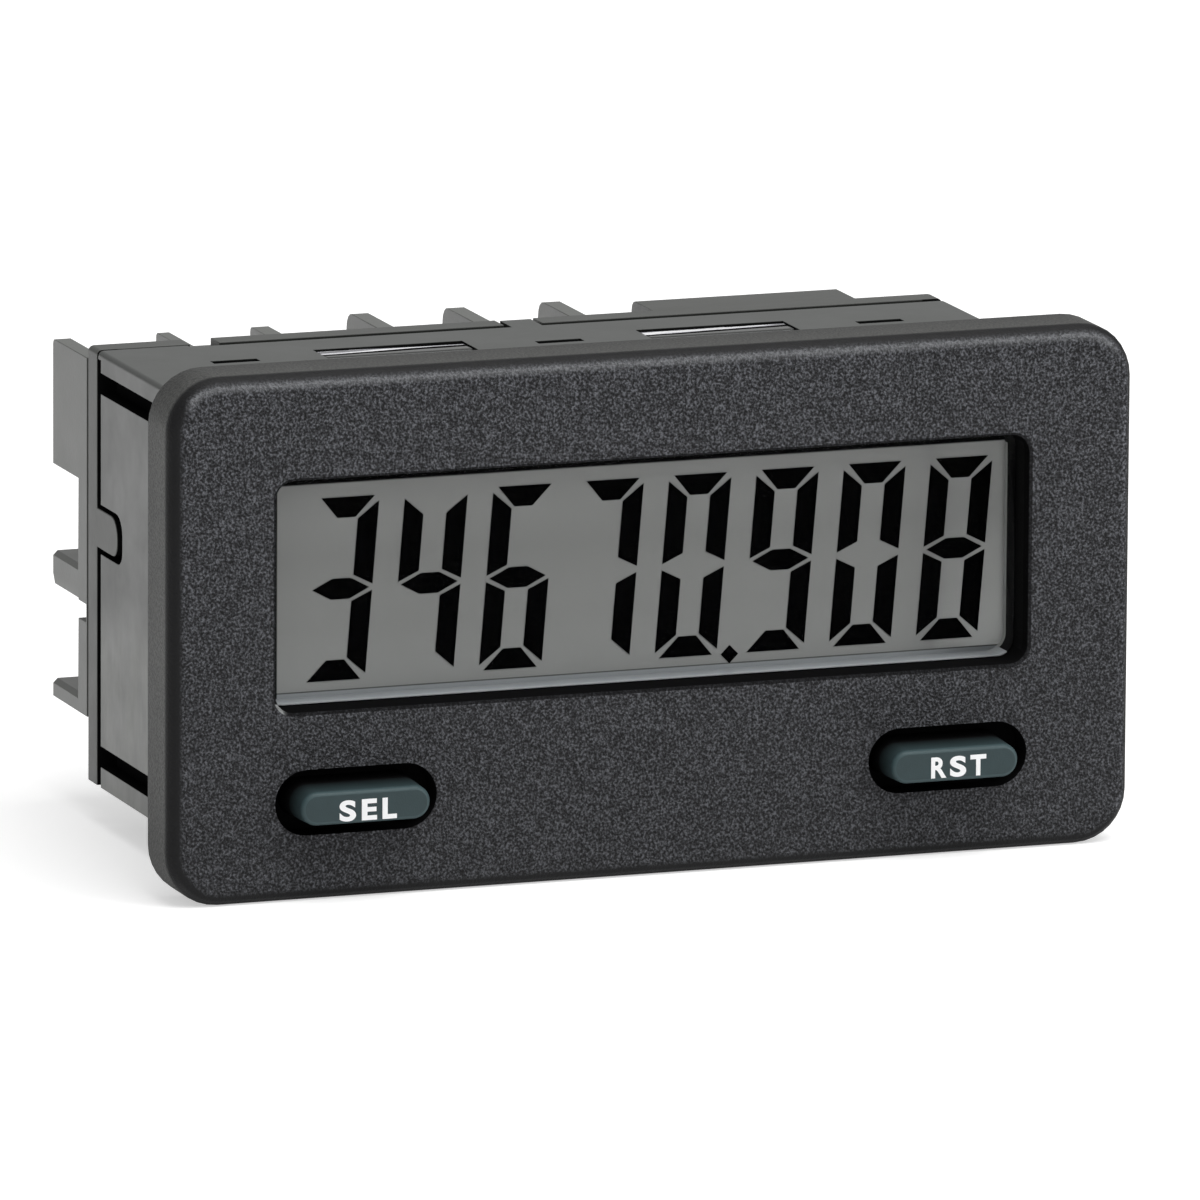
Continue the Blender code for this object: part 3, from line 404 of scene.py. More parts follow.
def moulded_case():
    """Grained on the bezel's face, smooth with painted shade on its rolled edge, painted black shade in the
    openings, and painted light on the face and the sides.
    """
    plastic = Finish("moulded_case")
    x, y, z = plastic.axes()
    relief = grain(plastic, grain_size)
    haze = plastic.noise(5 * mm, 4.0, 0.65)
    stains = plastic.ramp(plastic.noise(2.2 * mm, 3.0, 0.6, (1, 1, 0.3)), (0.40, 0.0), (0.62, 1.0))
    # Where the point lies: on the face, its rolled edge, the flange, a side wall or the window's lip
    inset, left, right, bottom, top = rolled_edge(plastic, x, z)
    roll_depth = bezel_face + 0.7 * mm
    # Width of the painted shade on the rolled edge, wider at the left and the bottom
    painted_shade_width = 0.42 * mm + left * (1 - top) * 0.5 * mm + bottom * 0.4 * mm
    face = plastic.between(inset - painted_shade_width, -0.15 * mm, 0.2 * mm) * (y < roll_depth)
    rolled = plastic.between(y, roll_depth, roll_depth + 0.4 * mm, 1.0, 0.0)
    bezel = y < bezel_back + 0.05 * mm
    side = (1 - bezel) * (abs(x) > cover_high.x - 0.06 * mm)
    low_part = plastic.between(z, 19 * mm, 14 * mm)
    rim = window_lip(plastic, x, z)
    # The lip gets painted shade, a dark line round the window
    lip = rim * (y < bezel_face + 0.1 * mm)
    # The grained face, with painted light that makes it lighter towards the top and on its right rim, and a
    # painted highlight along its top edge
    dull = plastic.ramp(relief, (0.0, (0.004, 0.004, 0.005)), (0.5, (0.038, 0.039, 0.045)),
                        (1.0, (0.125, 0.13, 0.145)))
    lit = (plastic.between(z, 0.0, case_high.z, 0.8, 1.1)
           + right * plastic.between(inset, 0.9 * mm, 0.4 * mm) * 0.9)
    brightest = 0.78 * mm
    painted_top_highlight = (top * plastic.between(inset, 0.25 * mm, brightest)
                   * plastic.between(inset, 1.25 * mm, brightest) * (0.6 + 0.4 * relief))
    face_with_painted_light = plastic.mix(painted_top_highlight, plastic.times(dull, lit), (0.20, 0.205, 0.215))
    # The walls and the flange, with a painted reflection that is lighter low on the sides and mottled by
    # stains, the flange lighter towards the face, and painted shade near black on the rolled edge
    smooth = plastic.mix(haze, (0.016, 0.020, 0.017), (0.032, 0.036, 0.031))
    low_side_reflection_and_stains = plastic.mix(side * (0.4 + 0.6 * stains) * low_part, smooth, (0.088, 0.093, 0.080))
    flange = plastic.times(plastic.mix(relief, (0.008, 0.0085, 0.008), (0.055, 0.056, 0.052)),
                           plastic.between(y, bezel_back - 0.05 * mm, bezel_face + 1.2 * mm, 0.75, 1.35))
    wall = plastic.mix(rolled, plastic.mix(bezel, low_side_reflection_and_stains, flange), (0.004, 0.004, 0.005))
    # A painted glint in the window's lower left corner
    glint = (rim * (y < bezel_face + 2.6 * mm) * (z < window_bottom + 0.75 * mm)
             * plastic.between(x, window_left + 0.95 * mm, window_left + 0.55 * mm))
    plastic.set(Base_Color=plastic.mix(glint, plastic.mix(face, wall, face_with_painted_light), (0.27, 0.28, 0.28)),
                Roughness=0.3 + bezel * 0.21 + haze * 0.1 + side * (haze - 0.5) * 0.2)
    plastic.bump(relief * (0.25 * bezel + 0.75 * face) + haze * 0.1, grain_depth)
    # Painted shade: black in the grain's pits, round the window's lip, on the rolled edge and in the
    # openings, and darker high on the sides and towards the seam, mottled by stains
    high_side_shade_and_stains = (side * (0.05 + 0.08 * (1 - stains)) * (1 - low_part)
               * plastic.between(y, seam - 3.4 * mm, seam - 5 * mm, 1.0, 0.3))
    pits = face * (1 - relief) * (1 - painted_top_highlight) * 0.5 * (1 - lip) + lip * 0.8
    rolled_edge_shade = rolled * (1 - face) * (0.42 - 0.34 * bottom * plastic.between(inset, 0.5 * mm, 0.3 * mm))
    plastic.blacken((case_shadows(plastic, x, y, z) + rolled_edge_shade + pits + high_side_shade_and_stains) * (1 - glint))
    return plastic.material


smooth_copy("case", "bezel_and_case", 0.12 * mm, moulded_case())

# %% [markdown]
# The rear cover and the terminal block come from other moulds, with a slightly duller skin. The faint
# flow marks of moulded parts run along them, so the noise is stretched along X. The cover's faces
# towards the seam are painted black as shade, like the case's, and its flanks a little darker.

# %% Finish of the rear mouldings
def moulded_rear(name, shade, dullness):
    """Plain moulded plastic with flow marks."""
    plastic = Finish(name)
    flow = plastic.noise(3 * mm, 4.0, 0.6, (0.35, 1, 1))
    skin = plastic.noise(0.25 * mm, 2.0)
    dark, light = (tuple(lift * value for value in shade) for lift in (0.8, 1.2))
    plastic.set(Base_Color=plastic.mix(flow, dark, light), Roughness=dullness + 0.12 * flow)
    plastic.bump(skin * 0.4 + flow, 0.02 * mm)
    return plastic


cover_plastic = moulded_rear("moulded_cover", (0.036, 0.039, 0.034), 0.34)
x, y, z = cover_plastic.axes()
away = abs(x)
shaded_seam_face = (y < seam + 0.93 * mm) * (away < cover_high.x - 0.05 * mm)
top_seam = (z > cover_high.z - 0.95 * mm) * (away < seam_end)
flank = away > cover_high.x - 0.05 * mm
# Painted shade black on the faces towards the seam, half as much at the top; the flanks a little darker
cover_plastic.blacken(shaded_seam_face * (1 - 0.5 * top_seam) + flank * 0.08)
block_plastic = moulded_rear("moulded_block", (0.084, 0.088, 0.080), 0.31)
smooth_copy("rear_cover", "rear_cover_skin", 0.1 * mm, cover_plastic.material)
smooth_copy("terminal_block", "terminal_block_skin", 0.1 * mm, block_plastic.material)

# %% [markdown]
# ## The display glass
# A liquid-crystal display is two sheets of glass with a grey polarising film on the front. It reflects a
# dull, even grey, with a fine seal line along its foot and darker cut edges. Deep in its recess the film
# would go dark towards its edges, where the real window pipes light to it, so painted light makes it lighter
# there, and paler still below the seal. A fine strip along its top and its left carries a painted shadow of
# the window's frame. The node from CAD keeps its shape and gets this finish, and the digits are laid on it
# below.

# %% Finish of the display glass
def display_film():
    """Grey film on the front with painted light towards its edges and below its seal, a painted shadow along
    its top and left, and darker cut edges.
    """
    film = Finish("display_film", Roughness=0.35, Specular_IOR_Level=0.2)
    x, y, z = film.axes()
    cloud = film.noise(5 * mm, 3.0)
    fine = film.noise(0.12 * mm, 1.0)
    front = film.mix(cloud, (0.262, 0.268, 0.260), (0.276, 0.281, 0.273))
    speckle = film.mix(fine * 0.4, front, (0.25, 0.255, 0.25))
    # Painted light: lighter at the right end, most at its foot, and towards the left, the top and the bottom
    right_end = film.between(x, window_right - 5.5 * mm, window_right)
    lift = ((1 + right_end * film.between(z, window_bottom, window_top, 1.95, 0.6))
            * film.between(x, window_left + 12 * mm, window_left + 2 * mm, 1.0, 1.12)
            * film.between(z, window_top - 7 * mm, window_top - 1 * mm, 1.0, 1.4)
            * film.between(z, window_bottom + 5 * mm, window_bottom + 0.5 * mm, 1.0, 1.2))
    film_with_painted_light = film.times(speckle, lift)
    seal_height = window_bottom + 0.27 * mm
    # Painted light below the seal, where the window's lower side lights the film
    below = film.mix(z < seal_height, film_with_painted_light, (0.36, 0.385, 0.40))
    sealed = film.mix(abs(z - seal_height) < 0.05 * mm, below, (0.12, 0.125, 0.12))
    cut_edge = y > glass_front + 0.05 * mm
    film.set(Base_Color=film.mix(cut_edge, sealed, (0.05, 0.06, 0.055)))
    film.bump(fine, 0.003 * mm)
    # A painted shadow of the window's frame along the top and the left
    above = film.between(z, window_top - 1.6 * mm, window_top - 1.48 * mm)
    beside = film.between(x, window_left + 2.08 * mm, window_left + 1.98 * mm)
    film.blacken(above + (1 - above) * beside)
    return film.material


dress(display_film(), "lcd_cell")

# %% [markdown]
# ## The digits
# A seven-segment digit repeats four outlines: a trapezium for its top and bottom bars, a left and a
# right upright, and half of the pointed middle bar. Geometry Nodes draw each outline once from the digit's
# sizes, place them on points that say which outline and which digit they belong to, and turn half of
# them upside down. The whole row is then slanted at once, as the display's maker did.

# %% Which segments are lit
lit_segments = {"0": "abcdef", "1": "bc", "2": "abdeg", "3": "abcdg", "4": "bcfg", "5": "acdfg",
                "6": "acdefg", "7": "abc", "8": "abcdefg", "9": "abcdfg"}
# Outline number, and 1 where it is turned by half a turn
segment_parts = {"a": [(0, 0)], "d": [(0, 1)], "f": [(1, 0)], "c": [(1, 1)], "b": [(2, 0)], "e": [(2, 1)],
                 "g": [(3, 0), (3, 1)]}
shown_number = "34670908"


def segment_points(number):
    """A mesh of loose points, one for each outline that is lit."""
    mesh = bpy.data.meshes.new("display_digits")
    parts = [(place, outline, turned) for place, digit in enumerate(number)
             for segment in lit_segments[digit] for outline, turned in segment_parts[segment]]
    mesh.from_pydata([(0, 0, 0)] * len(parts), [], [])
    for name, column in (("digit", 0), ("outline", 1), ("turned", 2)):
        layer = mesh.attributes.new(name, "INT", "POINT")
        layer.data.foreach_set("value", [part[column] for part in parts])
    return mesh


points = segment_points(shown_number)
print("outlines to place:", len(points.vertices))

# %% The node tree that draws the digits
def geometry_tree(name, sizes):
    """A Geometry Nodes tree with an input for each named size, what it is given, and those inputs."""
    tree = Tree(bpy.data.node_groups.new(name, "GeometryNodeTree"))
    sockets = [("Geometry", "INPUT", "Geometry"), ("Geometry", "OUTPUT", "Geometry"),
               *[(size, "INPUT", "Float") for size in sizes], ("Finish", "INPUT", "Material")]
    for socket, side, kind in sockets:
        tree.tree.interface.new_socket(socket, in_out=side, socket_type="NodeSocket" + kind)
    given = tree.node("NodeGroupInput")
    return tree, given, {size: given.other(size) for size in sizes}


def paint_and_output(tree, given, shape):
    """Close a Geometry Nodes tree: its shape gets the finish that it was given."""
    painted = tree.node("GeometryNodeSetMaterial", {}, {"Geometry": shape, "Material": given.other("Finish")})
    tree.node("NodeGroupOutput", {}, {0: painted})
    return tree.tree


def grow(name, mesh, group, sizes, material):
    """Run a Geometry Nodes tree on a mesh and return its result as a plain mesh."""
    holder = show(name, mesh)
    nodes = holder.modifiers.new("grow", "NODES")
    nodes.node_group = group
    values = dict(sizes, Finish=material)
    for item in group.interface.items_tree:
        if item.item_type == "SOCKET" and item.in_out == "INPUT" and item.name in values:
            nodes[item.identifier] = values[item.name]
    result = evaluated_mesh(holder)
    holder.modifiers.remove(nodes)
    holder.data = result
    print("%s: %d faces from %s" % (name, len(result.polygons), group.name))
    return holder


def closed_sheet(tree, flat, thickness):
    """A flat shape given a thickness downwards, with its far side closed."""
    under = tree.node("GeometryNodeFlipFaces", {}, {"Mesh": flat})
    raised = tree.node("GeometryNodeExtrudeMesh", {"mode": "FACES"},
                       {"Mesh": flat, "Offset Scale": thickness, "Individual": False})
    both = tree.node("GeometryNodeJoinGeometry", {}, {})
    tree.feed(both.socket.node.inputs[0], under)
    tree.feed(both.socket.node.inputs[0], raised)
    return tree.node("GeometryNodeMergeByDistance", {}, {"Geometry": both, "Distance": 0.002 * mm})


def digit_tree(sizes):
    """Geometry Nodes that place, turn and slant the outlines of seven-segment digits."""
    tree, given, size = geometry_tree("seven_segment_digits", sizes)
    wide, tall, bar, gap = size["Half width"], size["Half height"], size["Bar"], size["Gap"]

    def corner(x, z):
        return tree.node("ShaderNodeCombineXYZ", {}, {"X": x, "Y": z})

    def outline(*corners):
        shape = tree.node("GeometryNodeCurvePrimitiveQuadrilateral", {"mode": "POINTS"},
                          {"Point %d" % (n + 1): point for n, point in enumerate(corners)})
        return tree.node("GeometryNodeFillCurve", {"mode": "NGONS"}, {"Curve": shape})

    inner_top = tall - bar
    reach = wide - gap * 1.56
    inner = wide - bar - gap * 0.86
    peak = tall - gap * 1.78
    tip = wide - gap
    flat_part = wide * 0.294
    upright = [(wide, peak), (wide - bar, peak - bar * 0.816), (wide - bar, gap + bar * 0.483), (wide, gap)]
    half_bar = bar * 0.505
    shapes = [outline(corner(-reach, tall), corner(-inner, inner_top), corner(inner, inner_top),
                      corner(reach, tall)),
              outline(*[corner(-x, z) for x, z in upright]),
              outline(*[corner(x, z) for x, z in reversed(upright)]),
              outline(corner(-tip, 0.0), corner(tip, 0.0), corner(flat_part, half_bar),
                      corner(-flat_part, half_bar))]
    bundle = tree.node("GeometryNodeGeometryToInstance")
    for shape in reversed(shapes):
        tree.feed(bundle.socket.node.inputs[0], shape)

    def number(name):
        return tree.node("GeometryNodeInputNamedAttribute", {"data_type": "INT"}, {"Name": name})

    spun = tree.node("ShaderNodeCombineXYZ", {}, {"Z": number("turned") * math.pi})
    placed = tree.node("GeometryNodeSetPosition", {}, {
        "Geometry": given, "Position": corner(number("digit") * size["Pitch"], 0.0)})
    stood = tree.node("GeometryNodeInstanceOnPoints", {}, {
        "Points": placed, "Instance": bundle, "Pick Instance": True, "Instance Index": number("outline"),
        "Rotation": spun})
    real = tree.node("GeometryNodeRealizeInstances", {}, {"Geometry": stood})
    here = tree.node("GeometryNodeInputPosition")
    height = tree.node("ShaderNodeSeparateXYZ", {}, {"Vector": here}, output="Y")
    slanted = tree.node("GeometryNodeSetPosition", {}, {
        "Geometry": real, "Offset": corner(height * size["Slant"], 0.0)})
    return paint_and_output(tree, given, closed_sheet(tree, slanted, size["Thickness"]))


ink_thickness = 0.03 * mm
digit_sizes = {"Half width": 2.43 * mm, "Half height": 6.82 * mm, "Bar": 1.53 * mm, "Gap": 0.235 * mm,
               "Pitch": 6.858 * mm, "Slant": 0.0804, "Thickness": ink_thickness}
digits_group = digit_tree(list(digit_sizes))
print(digits_group.name, "has", len(digits_group.nodes), "nodes")

# %% [markdown]
# The tree draws the row flat on the ground. It is stood up against the glass afterwards, in its mesh, so
# that the object itself stays at the origin. The decimal point is a small square on its corner, made
# from four points, as the shape is too plain to need nodes.

# %% Ink and placing of the digits
def stand_up(piece, x, y, z):
    """Turn a flat drawing to face -Y and move it to its place, all in the mesh."""
    piece.data.transform(Matrix.Translation((x, y, z)) @ Matrix.Rotation(math.pi / 2, 4, "X"))


def crystal_ink():
    """The near-black of a driven segment, very slightly uneven."""
    ink = Finish("driven_segment", Roughness=0.7, Specular_IOR_Level=0.0)
    uneven = ink.noise(0.8 * mm, 2.0)
    ink.set(Base_Color=ink.mix(uneven, (0.0004, 0.0004, 0.0005), (0.0012, 0.0012, 0.0014)))
    return ink.material


ink = crystal_ink()
digits = grow("display_digits", points, digits_group, digit_sizes, ink)
first_digit_x = -22.41 * mm
digit_middle = middle_height + 2.3 * mm
ink_lift = 0.02 * mm
digit_plane = glass_front - ink_lift
stand_up(digits, first_digit_x, digit_plane, digit_middle)
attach(digits, "counter")


def decimal_point(x, z, half):
    """A thin square on its corner."""
    form = bmesh.new()
    bmesh.ops.create_cone(form, cap_ends=True, segments=4, radius1=half, radius2=half, depth=ink_thickness)
    point = show("decimal_point", finished_mesh(form, "decimal_point", ink))
    stand_up(point, x, digit_plane, z)
    return point


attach(decimal_point(7.93 * mm, middle_height - 4.57 * mm, 0.69 * mm), "counter")
print("digits from x = %.2f mm" % (first_digit_x / mm))

# %% [markdown]
# ## The clear window
# The window is a block of clear acrylic pressed into the opening. CAD leaves a gap round it for the
# solids' sake, while the real one fills the opening with a fine rounded edge that glints, so the block
# is built again here and stands for the node. It is a stack of outlines, each a rounded rectangle at
# its own depth, joined like the ribs of a boat.

# %% The window block
corner_steps = 8


def rounded_outline(half_x, low, high, radius):
    """Points of a rounded rectangle about x = 0, in order."""
    points = []
    for corner in range(4):
        centre_x = (half_x - radius) * (1 if corner in (0, 3) else -1)
        centre_z = high - radius if corner in (0, 1) else low + radius
        for step in range(corner_steps + 1):
            angle = math.pi / 2 * (corner + step / corner_steps)
            points.append((centre_x + radius * math.cos(angle), centre_z + radius * math.sin(angle)))
    return points


def ribbed_block(name, ribs, material):
    """A closed block through outlines, each (depth, inset, corner radius), front first."""
    form = bmesh.new()
    rings = []
    for depth, inset, radius in ribs:
        outline = rounded_outline(window_right - inset, window_bottom + inset, window_top - inset, radius)
        rings.append([form.verts.new((x, depth, z)) for x, z in outline])
    for front, back in zip(rings, rings[1:]):
        for n in range(len(front)):
            after = (n + 1) % len(front)
            form.faces.new((front[n], front[after], back[after], back[n]))
    form.faces.new(rings[0])
    form.faces.new(rings[-1])
    bmesh.ops.recalc_face_normals(form, faces=form.faces)
    block = show(name, finished_mesh(form, name, material))
    print("%s: %d faces" % (name, len(block.data.polygons)))
    return block


# %% [markdown]
# Real refraction would be noisy and dark behind the block, so it is see-through by Alpha instead: clear
# on its face, with painted light along its lower side, which gathers the light from above and shows as a
# pale strip under the display, a painted glint at its lower left corner, and at its ends grey beside the
# display and painted black shade in front of it.

# %% Finish and placing of the window
def clear_block():
    """Clear acrylic with painted light on its lower side, a painted glint at one corner and painted shade at
    its ends.
    """
    acrylic = Finish("clear_block", Roughness=0.06, IOR=1.49)
    x, y, z = acrylic.axes()
    deep = acrylic.between(y, lens_low.y + 0.1 * mm, lens_low.y + 2.8 * mm)
    side = within(y, lens_low.y + 0.02 * mm, lens_high.y - 0.05 * mm)
    lower = z < window_bottom + 0.35 * mm
    far = (y > lens_low.y + 1.9 * mm) * (z < window_top - 1.5 * mm)
    smear = acrylic.noise(2.0 * mm, 3.0, 0.6, (0.3, 1, 1))
    # Painted light on the lower side, brightest at the front
    glow = acrylic.ramp(deep, (0.0, (0.80, 0.83, 0.86)), (0.12, (0.62, 0.66, 0.69)),
                        (0.45, (0.44, 0.475, 0.50)), (1.0, (0.34, 0.36, 0.375)))
    # At the ends, grey beside the display and painted black shade in front of it
    end = acrylic.mix(far, (0.004, 0.004, 0.005), (0.36, 0.37, 0.36))
    # A painted glint at the lower left corner
    corner = (x < window_left + 0.9 * mm) * (z < window_bottom + 1.1 * mm)
    edges = acrylic.mix(lower, acrylic.mix(corner, end, (0.42, 0.43, 0.43)), glow)
    acrylic.set(Base_Color=acrylic.mix(side, (0.002, 0.002, 0.002), edges),
                Alpha=0.02 + side * (0.87 + smear * 0.11))
    # Painted shade: black on the block's sides, except below, beside the display and at the glinting corner
    acrylic.blacken(side * (1 - lower) * (1 - far) * (1 - corner) * (y > lens_low.y + 0.22 * mm) * 0.86)
    return acrylic.material


lens_wall, lens_flange = (0.04 * mm, 1.36 * mm), (-1.4 * mm, 1.5 * mm)
flange_front = lens_high.y - 0.3 * mm
lens_ribs = [(lens_low.y, 0.2 * mm, 1.2 * mm), (lens_low.y + 0.05 * mm, 0.09 * mm, 1.3 * mm),
             (lens_low.y + 0.18 * mm, *lens_wall), (flange_front, *lens_wall),
             (flange_front, *lens_flange), (lens_high.y, *lens_flange)]
window = ribbed_block("window_block", lens_ribs, clear_block())
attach(window, "counter")
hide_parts("window_lens")
dressed.add("window_lens")

# %% [markdown]
# ## The keys
# Each key is a moulded rubber cap, dark bluish green, with a matt skin. Its name is printed in white. The
# words are Blender text, thickened a little with an offset to match the heavy print, made a mesh, and
# laid on the cap's face. They ride on the key, so they go in with it.

# %% Finish of the rubber parts
def plain_finish(name, dark, light, size, roughness, relief, **constants):
    """Two shades in soft blotches, with a little relief of the same size."""
    plain = Finish(name, **constants)
    cloud = plain.noise(size, 3.0)
    plain.set(Base_Color=plain.mix(cloud, dark, light), Roughness=roughness + 0.12 * cloud)
    plain.bump(cloud, relief)
    return plain.material


def key_rubber(shade):
    """Matt silicone rubber with a faint bloom, a painted highlight round the face's rim, and painted shade
    that goes to black behind the bezel's face.
    """
    skin = Finish("key_rubber", Specular_IOR_Level=0.4)
    y = skin.axes()[1]
    bloom = skin.noise(1.6 * mm, 3.0)
    pores = skin.noise(0.1 * mm, 1.0)
    dark, light, edge = (tuple(lift * value for value in shade) for lift in (0.85, 1.2, 1.5))
    # Painted shade, going to black towards the back of the cap behind the bezel's face
    sunk_shade = skin.between(y, bezel_face - 2.2 * mm, bezel_face + 0.3 * mm)
    # A painted highlight round the rim of the cap's face
    rim = within(y, bezel_face - 2.47 * mm, bezel_face - 2.12 * mm)
    cap = skin.mix(rim, skin.mix(bloom, dark, light), edge)
    skin.set(Base_Color=cap, Roughness=0.44 + 0.14 * bloom)
    skin.bump(pores, 0.01 * mm)
    skin.blacken(sunk_shade)
    return skin.material


cap_rubber = key_rubber((0.030, 0.052, 0.056))
smooth_copy("sel_button", "sel_cap", 0.0, cap_rubber, "sel_key")
smooth_copy("rst_button", "rst_cap", 0.0, cap_rubber, "rst_key")
dress(plain_finish("mat_rubber", (0.04, 0.05, 0.052), (0.055, 0.066, 0.068), 1.6 * mm, 0.44, 0.01 * mm),
      "keypad_mat")


def printed_white():
    """Print ink on rubber: white, matt, very slightly thin in places."""
    white = Finish("printed_white", Roughness=0.55)
    thin = white.noise(0.25 * mm, 2.0)
    white.set(Base_Color=white.mix(thin, (0.97, 0.98, 0.99), (1.0, 1.0, 1.0)))
    return white.material


letter_size, letter_height, letter_weight = 2 * mm, 1.575 * mm, 0.075 * mm
lighter_letters = {"R": 0.062 * mm}
print_lift = 0.012 * mm


def drawn_letter(letter, width):
    """A heavy capital as a flat mesh of an ink's thickness, fitted to a box about the origin."""
    text = bpy.data.curves.new("letter", "FONT")
    text.body = letter
    text.size = letter_size
    text.offset = lighter_letters.get(letter, letter_weight)
    text.extrude = ink_thickness / 2
    drawing = show("letter_drawing", text)
    flat = evaluated_mesh(drawing)
    bpy.data.objects.remove(drawing)
    across = [vertex.co.x for vertex in flat.vertices]
    along = [vertex.co.y for vertex in flat.vertices]
    middle = Vector(((min(across) + max(across)) / 2, (min(along) + max(along)) / 2, 0))
    fit = Matrix.Diagonal((width / (max(across) - min(across)),
                           letter_height / (max(along) - min(along)), 1, 1))
    flat.transform(fit @ Matrix.Translation(-middle))
    return flat


def printed_word(word, centre, z, widths, steps, material):
    """Letters of the given widths, with the given steps from one middle to the next, on a key's face."""
    form = bmesh.new()
    x = -sum(steps) / 2
    for letter, width, step in zip(word, widths, (*steps, 0)):
        flat = drawn_letter(letter, width)
        flat.transform(Matrix.Translation((x, 0, 0)))
        form.from_mesh(flat)
        x += step
    name = word.lower() + "_legend"
    piece = show(name, finished_mesh(form, name, material))
    stand_up(piece, centre, key_front - print_lift, z)
    print(piece.name, "is %.2f mm wide" % (1000 * piece.dimensions.x))
    return piece


white_print = printed_white()
sel_word = printed_word("SEL", -23.0 * mm, middle_height - 12.49 * mm, (1.27 * mm, 1.17 * mm, 1.11 * mm),
                        (1.67 * mm, 1.56 * mm), white_print)
rst_word = printed_word("RST", 23.0 * mm, middle_height - 12.4 * mm, (1.21 * mm, 1.27 * mm, 1.25 * mm),
                        (1.52 * mm, 1.59 * mm), white_print)
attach(sel_word, "sel_key")
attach(rst_word, "rst_key")

# %% [markdown]
# ## Inside the case
# Little of the inside shows, but the part can be opened up or seen through its slots, so every piece gets
# its finish: green boards with copper tracks under the lacquer, a black frame, grey rubber strips with
# their fine conducting layers, a resin drop, and a crinkled jacket on the battery.

# %% Finishes of the inside
def board_lacquer():
    """Green lacquer over copper tracks, drawn by a brick pattern that is broken up by noise."""
    board = Finish("board_lacquer", Roughness=0.35)
    turn = board.node("ShaderNodeMapping", {}, {"Vector": board.place, "Rotation": (math.pi / 2, 0, 0)})
    tracks = board.node("ShaderNodeTexBrick", {"offset": 0.5}, {
        "Vector": turn, "Color1": (0, 0, 0), "Color2": (0, 0, 0), "Mortar": (1, 1, 1),
        "Scale": 400.0, "Mortar Size": 0.05, "Brick Width": 1.2, "Row Height": 0.35})
    broken = (board.noise(4 * mm, 1.0) > 0.5) * tracks
    weave = board.noise(0.3 * mm, 1.0)
    lacquer = board.mix(weave * 0.5, (0.016, 0.085, 0.035), (0.024, 0.12, 0.05))
    board.set(Base_Color=board.mix(broken, lacquer, (0.06, 0.20, 0.075)))
    board.bump(broken + weave * 0.2, 0.03 * mm)
    return board.material


def layered_rubber():
    """Rubber strip made of thin conducting and insulating layers across its length."""
    strip = Finish("layered_rubber")
    x = strip.axes()[0]
    layer = x.maths("FRACT", x / (0.36 * mm))
    cloud = strip.noise(1 * mm, 2.0)
    strip.set(Base_Color=strip.mix(layer > 0.5, (0.02, 0.02, 0.02), (0.10, 0.10, 0.11)),
              Roughness=0.5 + 0.2 * cloud)
    return strip.material


dress(board_lacquer(), "display_board", "terminal_board")
dress(layered_rubber(), "upper_connector_strip", "lower_connector_strip")
dress(plain_finish("holder_plastic", (0.012, 0.012, 0.013), (0.020, 0.020, 0.021), 1 * mm, 0.4, 0.01 * mm),
      "lcd_holder", "board_link")
dress(plain_finish("chip_resin", (0.008, 0.008, 0.009), (0.016, 0.016, 0.017), 2 * mm, 0.22, 0.05 * mm),
      "counting_chip")
dress(plain_finish("carbon_pill", (0.012, 0.012, 0.012), (0.022, 0.022, 0.022), 0.3 * mm, 0.65, 0.01 * mm),
      "sel_contact_pill", "rst_contact_pill")
dress(plain_finish("can_jacket", (0.20, 0.22, 0.25), (0.27, 0.29, 0.32), 2 * mm, 0.3, 0.02 * mm,
                   Metallic=0.5), "reservoir_capacitor", "battery")

# %% [markdown]
# The folded sheet of clear film behind the case's top slots is what glitters there: its bend mirrors the
# studio in long streaks. Film this thin has almost no colour of its own, so the streaks are painted
# reflections, drawn as stripes of clear and milky film along X, with a high gloss.

# %% Finish of the clear film
def clear_film():
    """Thin film with painted reflections, bright streaks along its bend."""
    film = Finish("clear_film", Roughness=0.08)
    streak = film.noise(1.1 * mm, 2.0, 0.5, (0.06, 1, 1))
    painted_reflection_band = film.ramp(streak, (0.42, 0.03), (0.50, 0.9), (0.58, 0.1))
    film.set(Base_Color=film.mix(painted_reflection_band, (0.30, 0.31, 0.31), (0.92, 0.92, 0.92)), Alpha=0.15 + painted_reflection_band * 0.8)
    film.bump(streak, 0.1 * mm)
    return film.material


dress(clear_film(), "clear_insulator")

# %% [markdown]
# The film is a little too long for its place, so it bulges up into the two wide slots. A grid whose
# heights follow a flattened arch makes the bulge. Its back half is creased, and carries painted reflections
# in white and grey between two folds of painted shade.

# %% The film's bulges in the slots
half_film = 5.81 * mm
slot_front, slot_back = bezel_face + 20.9 * mm, bezel_face + 24.05 * mm
slot_middle, half_slot = (slot_front + slot_back) / 2, (slot_back - slot_front) / 2
film_floor, film_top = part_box("clear_insulator")[1].z, cover_high.z - 0.07 * mm
film_thickness, crease_height = 0.06 * mm, 0.05 * mm


